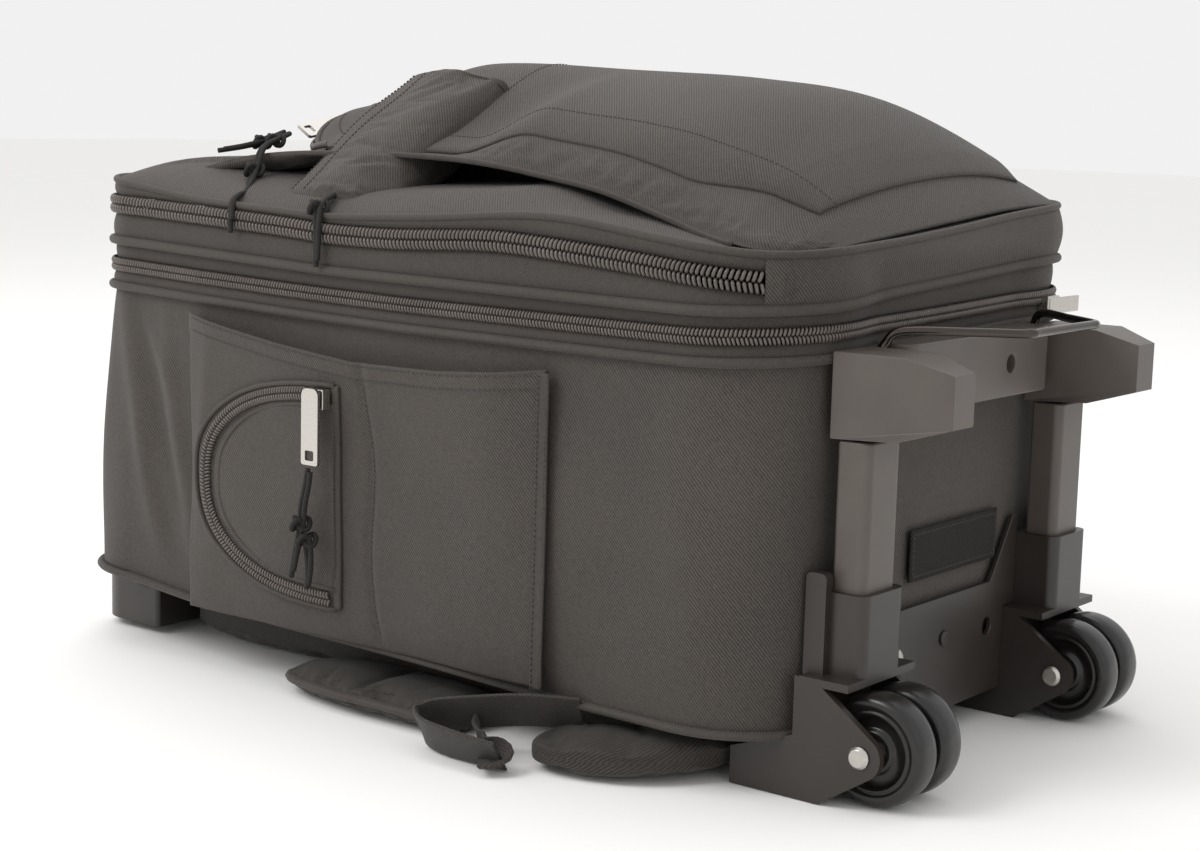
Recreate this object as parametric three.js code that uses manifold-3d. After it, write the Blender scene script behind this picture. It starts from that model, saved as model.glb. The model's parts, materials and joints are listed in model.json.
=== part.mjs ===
// A soft wheeled flight bag that lies on its back: +X towards the wheels, +Z up (the bag's front),
// -Y the side with the pockets. Sizes are in millimetres. While the parts are made, x = 0 is the
// wheel axle, y = 0 the middle of the bag and z = 0 the ground. The last lines centre the bag on x.
import * as THREE from "three";
import { mergeVertices } from "three/addons/utils/BufferGeometryUtils.js";
import Module from "manifold-3d";

const wasm = await Module();
wasm.setup();

// ---- Driving dimensions ----

const GAP = 0.3; // between parts that touch

const CASE_LENGTH = 496; // base panel to top panel
const CASE_WIDTH = 320;
const BASE_CORNER = 58; // plan radius of the corners at the wheels
const TOP_CORNER = 36; // plan radius of the corners at the handle end
const WALL = 4; // padded side wall
const FLOOR = 3;
const SEAM_Z = 32; // underside of the case above the ground
const SHELL_HEIGHT = 182; // side wall, seam to expansion zip
const ZIP_HALF = 9.3; // tape and coil on one side of a zip
const ZIP_PROUD = 1.2;
const ZIP_DEEP = 3.2;
const BAND_HEIGHT = 13; // herringbone band between the zips
const PLEAT_DEPTH = 22; // of the folded gusset below the expansion zip
const LID_EDGE = 7; // straight edge of the lid under its piping
const LID_THICK = 4;
const LID_RISE = 25;
const SLOPE_ENDS = 110; // length of the lid's slopes at its ends
const SLOPE_FAR = 60; // and at the far side
const SLIP_RISE = 30;
const SLIP_THICK = 2.5;
const SLIP_CLEAR = 3.9; // least space between the lid and the loose panel over it
const SLIP_MARGINS = [12, 14, 48, 20]; // of the loose panel from the top, base, near and far edges
const POCKET_MARGINS = [92, 34, 54, 54]; // of the front pocket from the same edges
const POCKET_CROWN = 40;
const BOARD = 3; // stiffener on the case floor

const WHEEL_RADIUS = 28;
const WHEEL_WIDTH = 22;
const TYRE_STEPS = 6; // facets round the tread
const WHEEL_GAP = 1.8; // between a wheel and the wall behind it
const TWIN_OFFSET = 12; // wheel centre from the middle of its housing
const WHEEL_INSET = 57.5; // middle of a housing from the bag's side
const BASE_BEHIND = 8; // base panel behind the wheels
const AXLE_RADIUS = 3;
const BORE_PLAY = 0.4;
const CHEEK_INNER = 28; // from the middle of the housing
const CHEEK_OUTER = 32;
const RIVET_HEAD_RADIUS = 5.8;
const RIVET_HEAD = 2.3;
const SKID_LENGTH = 38; // of the flat runner under the case
const SKID_BACK_TOP = 19;
const CHEEK_NOSE = 11.5; // round nose about the axle
const ROOF = 4; // of the housing over the wheels
const COLLAR_HEIGHT = 40.6;
const COLLAR_HALF = 19.6;
const COLLAR_WALL = 3.2; // in front of the strut
const FIN_HEIGHT = 50;
const FIN_INNER = 17.5; // the ear beside the case corner, from the middle of the housing
const FIN_HALF = 24;

const STRUT_DEPTH = 18;
const STRUT_HALF = 15.7;
const STRUT_STANDOFF = 6.9; // from the base panel
const FOOT_HEIGHT = 42.5;
const FOOT_ABOVE = 5.5; // top of the foot above the shell's top
const FOOT_HALF = 17;
const FOOT_END_HALF = 10.3;
const FOOT_PAST_WHEEL = 1.5;
const BAR_DEPTH = 19.9;
const BAR_HEIGHT = 35;
const BAR_ABOVE = 7; // top of the bar above the shell's top
const BAR_END_GAP = 7.5; // from the bar's round end to the foot
const BAR_HOLE_Y = 30;
const BAR_HOLE_RADIUS = 5;
const PLATE_THICK = 3;
const PLATE_STANDOFF = 1.2; // from the base panel
const PLATE_BOTTOM = 16;
const PLATE_RISE = 17; // over the roofs of the housings
const EAR_RISE = 51;
const PATCH_Y = [-34, 62]; // hook-and-loop patch on the base panel
const PATCH_HEIGHT = 29;
const PATCH_THICK = 1.9;
const RIVET_Z = 54; // rivets of the base plate
const SILVER_RIVET = { y: -48, radius: 6.3, height: 2.2 };
const DARK_RIVET = { y: 3, radius: 4.6, height: 1.6 };
const EYELET_Y = 52;

const BAIL_WIRE = 4.6; // diameter
const BAIL_HALF = 36; // half of the cross wire
const PIN_DEPTH = 10; // of the hole for its pin
const PIN_BELOW = 3.5; // from the foot's top
const BAIL_RISE = 11;

const TUBE_SPREAD = 160; // middle of one telescoping tube to the other
const TUBE_Z = 21.5;
const TUBE_WALL = 1.2;
const TUBE_PLAY = 0.5;
const OUTER_TUBE = [21, 14]; // width across the bag, height
const TUBE_END_GAP = 8.7; // from the tubes' end to the wheel housings
const STAGE_OVERLAP = 120; // of the middle tube left in the outer one
const STAGE_SPARE = 34; // of the outer tube past the middle one
const INNER_OVERLAP = 105;
const HOUSING_LENGTH = 58;
const HOUSING_PAST = 33; // past the top panel
const HOUSING_SPREAD = 104; // wider than the tubes' spread
const HOUSING_Z = 4.5;
const GRIP_SPREAD = 36; // wider than the tubes' spread
const GRIP_INSET = 2;
const GRIP_DEPTH = 20;
const GRIP_HEIGHT = 16;
const GRIP_RECESS = 25;
const GRIP_CLEARANCE = 0.8;
const FINGER_NOTCH = 92;
const BUTTON = [34, 10, 6]; // well across the bag, height, depth
const BUTTON_PROUD = 1.2;
const BRIDGE = [12, 30]; // far and near ends of the tubes' bridge, from the tubes' end
const BRIDGE_HEIGHT = 8;

const POCKET_ENDS = [96, 140]; // side slip pocket from the top and base panels
const POCKET_EDGES = [10, 19]; // from the seam and the shell's top
const POCKET_DEPTH = 10.5;
const POCKET_CLOTH = 2.5;
const D_INSET = 123; // straight edge of the D-shaped pocket from the slip pocket's end
const D_RADIUS = 59;
const D_STRAIGHT = 49; // straight run of its zip before the arc
const D_DROP = 97; // its middle below the shell's top
const D_THICK = 5;
const D_SLIDER_INSET = 8;

const TAB_LENGTH = 42;
const TAB_WIDTH = 12.5;
const TAB_THICK = 2;
const SLIDER = [14, 11, 6]; // along the zip, across it, height

const PAD_SPREAD = 40; // back panel pad past the middle of a tube
const PAD_Z = 3;
const STRAP_WIDER = 17; // outer edge of the shoulder strap past the case's side
const LOOP_WIDER = 45; // outermost fold of the strap's webbing
const STRAP_THICK = 12;
const STRAP_WEB = 17; // width of the webbing, standing on its edge
const STRAP_START = 54; // tip of the folded strap from the base panel
const TAIL_LENGTH = 73;
const TAIL_HEIGHTS = [24, 12]; // at its fold and at its tip
const LOOP_LENGTH = 55;
const STRAP_PAD_LENGTH = 139;
const STRAP_GAP = 2;

const HANDLE_START = 134; // carry handle from the top panel
const HANDLE_WIDTH = 68;
const HANDLE_LENGTH = 114;
const HANDLE_INSET = 10; // its low end from the side
const HANDLE_HEIGHTS = [13, 70]; // of its two ends over the lid's edge
const HANDLE_ARCH = 9;
const HANDLE_THICK = 11;

const CORD_RADIUS = 1.5;

// ---- Places that follow from them ----

const BASE_X = -WHEEL_RADIUS - BASE_BEHIND; // outer face of the base panel
const TOP_X = BASE_X - CASE_LENGTH;
const HALF_WIDTH = CASE_WIDTH / 2;
const SIDE_Y = -HALF_WIDTH;
const SHELL_TOP = SEAM_Z + SHELL_HEIGHT;
const EXPANSION_ZIP = [SHELL_TOP + GAP, SHELL_TOP + GAP + ZIP_HALF];
const EXPANSION_ZIP_UP = [EXPANSION_ZIP[1] + GAP, EXPANSION_ZIP[1] + GAP + ZIP_HALF];
const BAND = [EXPANSION_ZIP_UP[1] + GAP, EXPANSION_ZIP_UP[1] + GAP + BAND_HEIGHT];
const MAIN_ZIP = [BAND[1] + GAP, BAND[1] + GAP + ZIP_HALF];
const MAIN_ZIP_UP = [MAIN_ZIP[1] + GAP, MAIN_ZIP[1] + GAP + ZIP_HALF];
const GUSSET_Z = SHELL_TOP - PLEAT_DEPTH; // where the folded gusset is sewn into the shell
const LID_Z = MAIN_ZIP_UP[1] + GAP;
const LID_TOP = LID_Z + LID_EDGE;

const TRACK = CASE_WIDTH - 2 * WHEEL_INSET; // middle of one housing to the other
const HOUSING_BACK = BASE_X - SKID_LENGTH;
const SKID_FRONT = 6 - WHEEL_RADIUS;
const CHEEK_TOP = 2 * WHEEL_RADIUS + 2 + ROOF;
const COLLAR_TOP = CHEEK_TOP + COLLAR_HEIGHT;
const FIN_TOP = CHEEK_TOP + FIN_HEIGHT;
const FIN_FRONT = BASE_X + 9;
const STRUT_BACK = BASE_X + STRUT_STANDOFF;
const STRUT_FRONT = STRUT_BACK + STRUT_DEPTH;
const COLLAR_FRONT = STRUT_FRONT + GAP + COLLAR_WALL;
const FOOT_BOTTOM = SHELL_TOP + FOOT_ABOVE - FOOT_HEIGHT;
const FOOT_BACK = BASE_X + 3;
const FOOT_KNEE = FOOT_BACK + 40;
const FOOT_END = WHEEL_RADIUS + FOOT_PAST_WHEEL;
const BAIL_X = FOOT_BACK + BAIL_WIRE / 2 + 2; // the bail's pins in the feet
const BAIL_Z = SHELL_TOP + FOOT_ABOVE - PIN_BELOW;
const BAIL_REACH = FOOT_END - 1;

const POCKET_X = [TOP_X + POCKET_ENDS[0], BASE_X - POCKET_ENDS[1]];
const POCKET_Z = [SEAM_Z + POCKET_EDGES[0], SHELL_TOP - POCKET_EDGES[1]];
const D_STRAIGHT_X = POCKET_X[0] + D_INSET;
const D_SLIDER_X = D_STRAIGHT_X - D_SLIDER_INSET;
const D_MIDDLE_Z = SHELL_TOP - D_DROP;

const TUBES_Y = { near: -TUBE_SPREAD / 2, far: TUBE_SPREAD / 2 };
const HOUSING_X = [TOP_X - HOUSING_PAST, TOP_X - HOUSING_PAST + HOUSING_LENGTH];
const OUTER_X = [HOUSING_X[1] + GAP, HOUSING_BACK - TUBE_END_GAP];
const STAGE_TRAVEL = OUTER_X[1] - OUTER_X[0] - STAGE_SPARE - STAGE_OVERLAP;
const RECESS_X = HOUSING_X[0] + GRIP_RECESS;
const BRIDGE_X = BRIDGE.map((back) => OUTER_X[1] - back).reverse();
const BRIDGE_Z = [TUBE_Z - BRIDGE_HEIGHT / 2, TUBE_Z + BRIDGE_HEIGHT / 2];

const PAD_HALF = TUBE_SPREAD / 2 + PAD_SPREAD;
const STRAP_INNER = PAD_HALF + STRAP_GAP;
const STRAP_OUT = HALF_WIDTH + STRAP_WIDER;
const STRAP_TAIL_X = [BASE_X - STRAP_START - TAIL_LENGTH, BASE_X - STRAP_START];
const STRAP_LOOP_X = [STRAP_TAIL_X[0] - STRAP_GAP - LOOP_LENGTH, STRAP_TAIL_X[0] - STRAP_GAP];
const STRAP_PAD_X = [STRAP_LOOP_X[0] - STRAP_GAP - STRAP_PAD_LENGTH, STRAP_LOOP_X[0] - STRAP_GAP];

const HANDLE_X = [TOP_X + HANDLE_START, TOP_X + HANDLE_START + HANDLE_WIDTH];
const HANDLE_Y = [SIDE_Y + HANDLE_INSET, SIDE_Y + HANDLE_INSET + HANDLE_LENGTH];

// ---- Finishes ----

const FABRIC = { color: 0x45413e, roughness: 0.92, metalness: 0 };
const BINDING = { color: 0x3a3633, roughness: 0.88, metalness: 0 };
const ZIPPER = { color: 0x2c2a29, roughness: 0.55, metalness: 0 };
const PLASTIC = { color: 0x5a5450, roughness: 0.5, metalness: 0 };
const DARK_PLASTIC = { color: 0x38332f, roughness: 0.45, metalness: 0 };
const TYRE = { color: 0x2e2c2b, roughness: 0.38, metalness: 0 };
const STEEL = { color: 0xb9b6b1, roughness: 0.35, metalness: 0.9 };
const NICKEL = { color: 0xd2d0cb, roughness: 0.22, metalness: 1 };
const WIRE = { color: 0x4a4744, roughness: 0.2, metalness: 1 };
const ALUMINIUM = { color: 0xa7a8aa, roughness: 0.35, metalness: 0.9 };
const CORD = { color: 0x1c1b1b, roughness: 0.9, metalness: 0 };

const bag = new THREE.Group();
const cordNames = new Set();

function add(name, geometry, finish) {
  const mesh = new THREE.Mesh(geometry, new THREE.MeshStandardMaterial(finish));
  mesh.name = name;
  bag.add(mesh);
  return mesh;
}

// ---- Shapes ----

// A box between two corners.
function box([x0, x1], [y0, y1], [z0, z1]) {
  const geometry = new THREE.BoxGeometry(x1 - x0, y1 - y0, z1 - z0);
  return geometry.translate((x0 + x1) / 2, (y0 + y1) / 2, (z0 + z1) / 2);
}

// A rectangle with a radius at its low-x corners and another at its high-x corners.
function roundedRectangle([x0, x1], [y0, y1], lowRadius, highRadius = lowRadius) {
  const shape = new THREE.Shape();
  shape.moveTo(x0 + lowRadius, y0);
  shape.lineTo(x1 - highRadius, y0);
  shape.absarc(x1 - highRadius, y0 + highRadius, highRadius, -Math.PI / 2, 0);
  shape.lineTo(x1, y1 - highRadius);
  shape.absarc(x1 - highRadius, y1 - highRadius, highRadius, 0, Math.PI / 2);
  shape.lineTo(x0 + lowRadius, y1);
  shape.absarc(x0 + lowRadius, y1 - lowRadius, lowRadius, Math.PI / 2, Math.PI);
  shape.lineTo(x0, y0 + lowRadius);
  shape.absarc(x0 + lowRadius, y0 + lowRadius, lowRadius, Math.PI, 1.5 * Math.PI);
  return shape;
}

function extrude(shape, depth, curveSegments = 6) {
  return new THREE.ExtrudeGeometry(shape, { depth, curveSegments, bevelEnabled: false });
}

// A shape drawn in x and y, between two heights.
function upright(shape, [z0, z1], curveSegments) {
  return extrude(shape, z1 - z0, curveSegments).translate(0, 0, z0);
}

// A shape drawn in x and z, between two values of y.
function across(shape, [y0, y1], curveSegments) {
  return extrude(shape, y1 - y0, curveSegments).rotateX(Math.PI / 2).translate(0, y1, 0);
}

// A shape drawn in y and z, between two values of x.
function lengthways(shape, [x0, x1], curveSegments) {
  const turn = new THREE.Matrix4().makeBasis(
    new THREE.Vector3(0, 1, 0),
    new THREE.Vector3(0, 0, 1),
    new THREE.Vector3(1, 0, 0),
  );
  return extrude(shape, x1 - x0, curveSegments).applyMatrix4(turn).translate(x0, 0, 0);
}

function polygon(points) {
  return new THREE.Shape(points.map(([u, v]) => new THREE.Vector2(u, v)));
}

function circle(radius, sides) {
  const corners = Array.from({ length: sides }, (_, i) => (2 * Math.PI * i) / sides);
  return polygon(corners.map((a) => [radius * Math.cos(a), radius * Math.sin(a)]));
}

// A round bar along a smooth curve through the points.
function roundBar(points, radius, sides, steps) {
  const route = new THREE.CatmullRomCurve3(points.map((p) => new THREE.Vector3(...p)));
  const extrudePath = route;
  return new THREE.ExtrudeGeometry(circle(radius, sides), { steps, extrudePath });
}

// A block whose underside and top are surfaces over x and y.
function block([x0, x1], [y0, y1], [columns, rows], under, over) {
  const geometry = new THREE.BoxGeometry(1, 1, 1, columns, rows, 1);
  const place = geometry.attributes.position;
  for (let i = 0; i < place.count; i++) {
    const x = x0 + (x1 - x0) * (place.getX(i) + 0.5);
    const y = y0 + (y1 - y0) * (place.getY(i) + 0.5);
    place.setXYZ(i, x, y, place.getZ(i) > 0 ? over(x, y) : under(x, y));
  }
  return geometry;
}

// A three.js geometry as a closed solid that can be joined and cut.
function solid(geometry) {
  const bare = geometry.clone();
  bare.deleteAttribute("normal");
  bare.deleteAttribute("uv");
  const merged = mergeVertices(bare, 1e-4);
  const vertProperties = new Float32Array(merged.attributes.position.array);
  const triVerts = new Uint32Array(merged.index.array);
  return new wasm.Manifold(new wasm.Mesh({ numProp: 3, vertProperties, triVerts }));
}

function geometryOf(manifold) {
  const mesh = manifold.getMesh();
  const geometry = new THREE.BufferGeometry();
  geometry.setAttribute("position", new THREE.BufferAttribute(mesh.vertProperties, 3));
  geometry.setIndex(new THREE.BufferAttribute(mesh.triVerts, 1));
  geometry.computeVertexNormals();
  return geometry;
}

function join(...geometries) {
  return geometryOf(geometries.map(solid).reduce((a, b) => a.add(b)));
}

function cut(geometry, ...tools) {
  return geometryOf(tools.map(solid).reduce((a, b) => a.subtract(b), solid(geometry)));
}

function common(a, b) {
  return geometryOf(solid(a).intersect(solid(b)));
}

// 0 at or before nothing, 1 at or past the span, smooth between.
function rise(distance, span) {
  return THREE.MathUtils.smoothstep(distance, 0, span);
}

// ---- The case: shell, zips, band and lid share one plan outline ----

function outline(grow) {
  return roundedRectangle(
    [TOP_X - grow, BASE_X + grow],
    [-HALF_WIDTH - grow, HALF_WIDTH + grow],
    TOP_CORNER + grow,
    BASE_CORNER + grow,
  );
}

function ring(outset, inset, heights) {
  const [z0, z1] = heights;
  return cut(upright(outline(outset), heights), upright(outline(-inset), [z0 - 1, z1 + 1]));
}

// Outer face of the base panel at a distance from the middle, where the corner has turned away.
function baseFace(y) {
  const past = Math.max(0, Math.abs(y) - (HALF_WIDTH - BASE_CORNER));
  return BASE_X - BASE_CORNER + Math.sqrt(BASE_CORNER ** 2 - Math.min(past, BASE_CORNER) ** 2);
}

function makeShell() {
  const hollow = upright(outline(-WALL), [SEAM_Z + FLOOR, SHELL_TOP + 1]);
  add("lower_shell", cut(upright(outline(0), [SEAM_Z, SHELL_TOP]), hollow), FABRIC);
  const boardZ = SEAM_Z + FLOOR + GAP;
  add("frame_board", upright(outline(-WALL - 4), [boardZ, boardZ + BOARD]), DARK_PLASTIC);
  add("expansion_zip_lower", ring(ZIP_PROUD, ZIP_DEEP, EXPANSION_ZIP), ZIPPER);
  add("gusset", ring(-WALL - 1, WALL + 3, [GUSSET_Z, BAND[1] - 2]), FABRIC);
}

function makeRim() {
  add("expansion_zip_upper", ring(ZIP_PROUD, ZIP_DEEP, EXPANSION_ZIP_UP), ZIPPER);
  add("rim_band", ring(0.4, WALL, BAND), BINDING);
  add("main_zip_lower", ring(ZIP_PROUD, ZIP_DEEP, MAIN_ZIP), ZIPPER);
}

// How far the lid has risen from its two ends: 0 at the ends, 1 between the slopes.
function endSlopes(x) {
  return rise(x - TOP_X, SLOPE_ENDS) * rise(BASE_X - x, SLOPE_ENDS);
}

// The lid's own panel: an edge all round, rising gently towards the far side.
function lidTop(x, y) {
  const sides = rise(HALF_WIDTH - y, SLOPE_FAR) * rise(HALF_WIDTH + y, 150);
  return LID_TOP + LID_RISE * endSlopes(x) * sides;
}

// The loose panel over it, whose near edge stands up as the mouth of a slip pocket.
function slipTop(x, y) {
  const raised = LID_TOP + 1 + SLIP_RISE * endSlopes(x) * rise(HALF_WIDTH - y, SLOPE_FAR);
  return Math.max(raised, lidTop(x, y) + SLIP_THICK + SLIP_CLEAR);
}

// Values of x and y inside margins from the top, base, near and far edges of the case.
function inside([top, base, near, far]) {
  return { x: [TOP_X + top, BASE_X - base], y: [SIDE_Y + near, HALF_WIDTH - far] };
}

const FRONT_POCKET = inside(POCKET_MARGINS);

function pocketTop(x, y) {
  const [, high] = FRONT_POCKET.x;
  const [, half] = FRONT_POCKET.y;
  const fall = 0.2 + 0.8 * rise(high - x, 150);
  const middle = (HANDLE_X[0] + HANDLE_X[1]) / 2;
  const dent = 12 * Math.exp(-(((x - middle) / 60) ** 2)) * rise(20 - y, 60);
  return slipTop(x, y) + 8 + (POCKET_CROWN * rise(half - Math.abs(y), 100) - dent) * fall;
}

function makeLid() {
  add("main_zip_upper", ring(ZIP_PROUD, ZIP_DEEP, MAIN_ZIP_UP), ZIPPER);
  const ends = [TOP_X - 10, BASE_X + 10];
  const sides = [-HALF_WIDTH - 10, HALF_WIDTH + 10];
  const grid = [18, 12];
  const dome = block(ends, sides, grid, () => LID_Z, lidTop);
  const under = block(ends, sides, grid, () => LID_Z - 5, (x, y) => lidTop(x, y) - LID_THICK);
  const tall = [LID_Z - 10, LID_TOP + 200];
  const outer = common(dome, upright(outline(0), tall));
  const inner = common(under, upright(outline(-LID_THICK), tall));
  add("lid_panel", cut(outer, inner), FABRIC);

  const slipArea = inside(SLIP_MARGINS);
  const slipPlan = roundedRectangle(slipArea.x, slipArea.y, 30, 46);
  const slip = block(ends, sides, grid, (x, y) => slipTop(x, y) - SLIP_THICK, slipTop);
  add("front_slip_panel", common(slip, upright(slipPlan, tall)), FABRIC);

  const plan = roundedRectangle(FRONT_POCKET.x, FRONT_POCKET.y, 24, 60);
  const pocketUnder = (x, y) => slipTop(x, y) + 2;
  const over = block(FRONT_POCKET.x, FRONT_POCKET.y, [14, 10], pocketUnder, pocketTop);
  add("front_pocket", common(over, upright(plan, tall)), FABRIC);
}

// ---- Back panel, telescoping handle and its housing ----

function tubeShape(width, height, middleY) {
  return roundedRectangle(
    [middleY - width / 2, middleY + width / 2],
    [TUBE_Z - height / 2, TUBE_Z + height / 2],
    Math.min(2.5, height / 3),
  );
}

function tube([width, height], middleY, ends) {
  const bore = tubeShape(width - 2 * TUBE_WALL, height - 2 * TUBE_WALL, middleY);
  const [x0, x1] = ends;
  return cut(
    lengthways(tubeShape(width, height, middleY), ends, 2),
    lengthways(bore, [x0 - 1, x1 + 1], 2),
  );
}

function nested([width, height]) {
  const less = 2 * (TUBE_WALL + TUBE_PLAY);
  return [width - less, height - less];
}

function makeHandle() {
  const middle = nested(OUTER_TUBE);
  const inner = nested(middle);
  const reach = TUBE_SPREAD / 2 - OUTER_TUBE[0] / 2 + 1;
  const bridge = box(BRIDGE_X, [-reach, reach], BRIDGE_Z);
  const outers = Object.values(TUBES_Y).map((y) => tube(OUTER_TUBE, y, OUTER_X));
  add("outer_tube_frame", join(...outers, bridge), ALUMINIUM);

  const middleX = [RECESS_X + 2, OUTER_X[0] + STAGE_TRAVEL + STAGE_OVERLAP];
  const gripX = [HOUSING_X[0] + GRIP_INSET, HOUSING_X[0] + GRIP_INSET + GRIP_DEPTH];
  const innerX = [gripX[1] + GAP, gripX[1] + STAGE_TRAVEL + INNER_OVERLAP];
  for (const [side, y] of Object.entries(TUBES_Y)) {
    add("middle_tube_" + side, tube(middle, y, middleX), ALUMINIUM);
    add("inner_tube_" + side, tube(inner, y, innerX), ALUMINIUM);
  }

  const half = (TUBE_SPREAD + GRIP_SPREAD) / 2;
  const gripZ = [TUBE_Z - GRIP_HEIGHT / 2, TUBE_Z + GRIP_HEIGHT / 2];
  const [wellWidth, wellHeight, wellDepth] = BUTTON;
  const grip = lengthways(roundedRectangle([-half, half], gripZ, 6), gripX, 3);
  const well = new THREE.BoxGeometry(2 * wellDepth, wellWidth, wellHeight);
  add("grip", cut(grip, well.translate(gripX[0], 0, TUBE_Z)), DARK_PLASTIC);
  const button = new THREE.BoxGeometry(BUTTON_PROUD + wellDepth / 2, wellWidth - 1, wellHeight - 1);
  button.translate(gripX[0] - BUTTON_PROUD / 2 + wellDepth / 4, 0, TUBE_Z);
  add("grip_button", button, PLASTIC);

  const wide = (TUBE_SPREAD + HOUSING_SPREAD) / 2;
  const tall = [HOUSING_Z, SEAM_Z - GAP];
  const shell = upright(roundedRectangle(HOUSING_X, [-wide, wide], 22, 3), tall);
  const clear = half + GRIP_CLEARANCE;
  const recessZ = [gripZ[0] - GRIP_CLEARANCE, gripZ[1] + GRIP_CLEARANCE];
  const recess = box([HOUSING_X[0] - 1, RECESS_X], [-clear, clear], recessZ);
  const notchHalf = FINGER_NOTCH / 2;
  const notch = box([HOUSING_X[0] - 1, RECESS_X], [-notchHalf, notchHalf], [HOUSING_Z - 1, TUBE_Z]);
  const play = middle.map((size) => size + 2 * TUBE_PLAY);
  const holes = Object.values(TUBES_Y).map((y) =>
    lengthways(tubeShape(...play, y), [RECESS_X - 1, HOUSING_X[1] + 1], 2),
  );
  add("handle_housing", cut(shell, recess, notch, ...holes), PLASTIC);
}

function makeBackPad() {
  const ends = [HOUSING_X[1] + GAP, HOUSING_BACK - 2];
  const grid = [14, 10];
  const under = (x, y) => PAD_Z + 8 * (1 - rise(x - ends[0], 110)) + 9 * (y / PAD_HALF) ** 4;
  const pad = block(ends, [-PAD_HALF, PAD_HALF], grid, under, () => SEAM_Z - GAP);
  const [width, height] = OUTER_TUBE;
  const slots = Object.values(TUBES_Y).map((y) =>
    box(
      [ends[0] - 1, ends[1] + 1],
      [y - width / 2 - GAP, y + width / 2 + GAP],
      [TUBE_Z - height / 2 - GAP, SEAM_Z],
    ),
  );
  const [bridgeStart, bridgeEnd] = BRIDGE_X;
  const bridgeSlot = box(
    [bridgeStart - GAP, bridgeEnd + GAP],
    [-TUBE_SPREAD / 2, TUBE_SPREAD / 2],
    [BRIDGE_Z[0] - GAP, SEAM_Z],
  );
  add("back_pad", cut(pad, ...slots, bridgeSlot), FABRIC);
}

// ---- Wheel ends: housing, wheels, axle, strut and foot, the same on both sides ----

const SIDES = { near: -1, far: 1 };

// Values of y, given from the middle of a housing with + away from the bag's middle.
function outward(side, [from, to]) {
  const middle = (side * TRACK) / 2;
  return side > 0 ? [middle + from, middle + to] : [middle - to, middle - from];
}

function cheek(backX) {
  const shape = new THREE.Shape();
  shape.moveTo(HOUSING_BACK, 0);
  shape.lineTo(SKID_FRONT, 0);
  shape.absarc(0, WHEEL_RADIUS, CHEEK_NOSE, -1.0, 0.75);
  shape.lineTo(SKID_FRONT, CHEEK_TOP - 4);
  shape.lineTo(backX, CHEEK_TOP);
  shape.lineTo(backX, SEAM_Z - GAP);
  shape.lineTo(HOUSING_BACK, SKID_BACK_TOP);
  return shape;
}

function makeHousing(name, side) {
  const backX = Math.max(BASE_X - 2, baseFace(TRACK / 2 + CHEEK_INNER) + GAP);
  const front = BASE_X + GAP;
  const full = outward(side, [-CHEEK_OUTER, CHEEK_OUTER]);
  const collarY = outward(side, [-COLLAR_HALF, COLLAR_HALF]);
  const wheelGap = WHEEL_RADIUS + WHEEL_GAP;
  const skidTop = SEAM_Z - GAP;
  const skid = polygon([
    [HOUSING_BACK, 0],
    [-wheelGap, 0],
    [-wheelGap, skidTop],
    [BASE_X - 1, skidTop],
    [HOUSING_BACK, SKID_BACK_TOP],
  ]);
  const finY = outward(side, [FIN_INNER, FIN_HALF]);
  const finBack = baseFace(TRACK / 2 + FIN_INNER) + GAP;
  const fin = roundedRectangle([finBack, FIN_FRONT], [CHEEK_TOP - 3, FIN_TOP], 3);
  const strutHole = outward(side, [-STRUT_HALF - GAP, STRUT_HALF + GAP]);
  const wallX = [front, -wheelGap];
  const made = join(
    across(cheek(backX), outward(side, [CHEEK_INNER, CHEEK_OUTER]), 5),
    across(cheek(front), outward(side, [-CHEEK_OUTER, -CHEEK_INNER]), 5),
    across(skid, full),
    box(wallX, full, [SEAM_Z - 3, CHEEK_TOP]),
    box([front, COLLAR_FRONT], full, [2 * WHEEL_RADIUS + 2, CHEEK_TOP]),
    upright(roundedRectangle([front, COLLAR_FRONT], collarY, 2, 6), [CHEEK_TOP - 1, COLLAR_TOP], 3),
    across(fin, finY, 3),
  );
  const hole = roundedRectangle([STRUT_BACK - GAP, STRUT_FRONT + GAP], strutHole, 2, 5);
  const axleHole = across(circle(AXLE_RADIUS + GAP, 16), outward(side, [-40, 40]));
  axleHole.translate(0, 0, WHEEL_RADIUS);
  const socket = upright(hole, [CHEEK_TOP, COLLAR_TOP + 1], 3);
  add("wheel_housing_" + name, cut(made, socket, axleHole), DARK_PLASTIC);
}

function makeWheel(name, y) {
  const half = WHEEL_WIDTH / 2;
  const bore = AXLE_RADIUS + BORE_PLAY;
  const shoulder = 8;
  const profile = [
    [bore, -half + 2],
    [14, -half + 2],
    [15, -half],
    [WHEEL_RADIUS - shoulder, -half],
  ].map(([r, t]) => new THREE.Vector2(r, t));
  for (let i = 1; i < TYRE_STEPS; i++) {
    const turn = -Math.PI / 2 + (Math.PI * i) / TYRE_STEPS;
    const out = WHEEL_RADIUS - shoulder + shoulder * Math.cos(turn);
    profile.push(new THREE.Vector2(out, half * Math.sin(turn)));
  }
  for (const p of profile.slice(0, 4).reverse()) profile.push(new THREE.Vector2(p.x, -p.y));
  profile.push(profile[0].clone());
  const wheel = new THREE.LatheGeometry(profile, 24);
  add(name, geometryOf(solid(wheel)).translate(0, y, WHEEL_RADIUS), TYRE);
}

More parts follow.
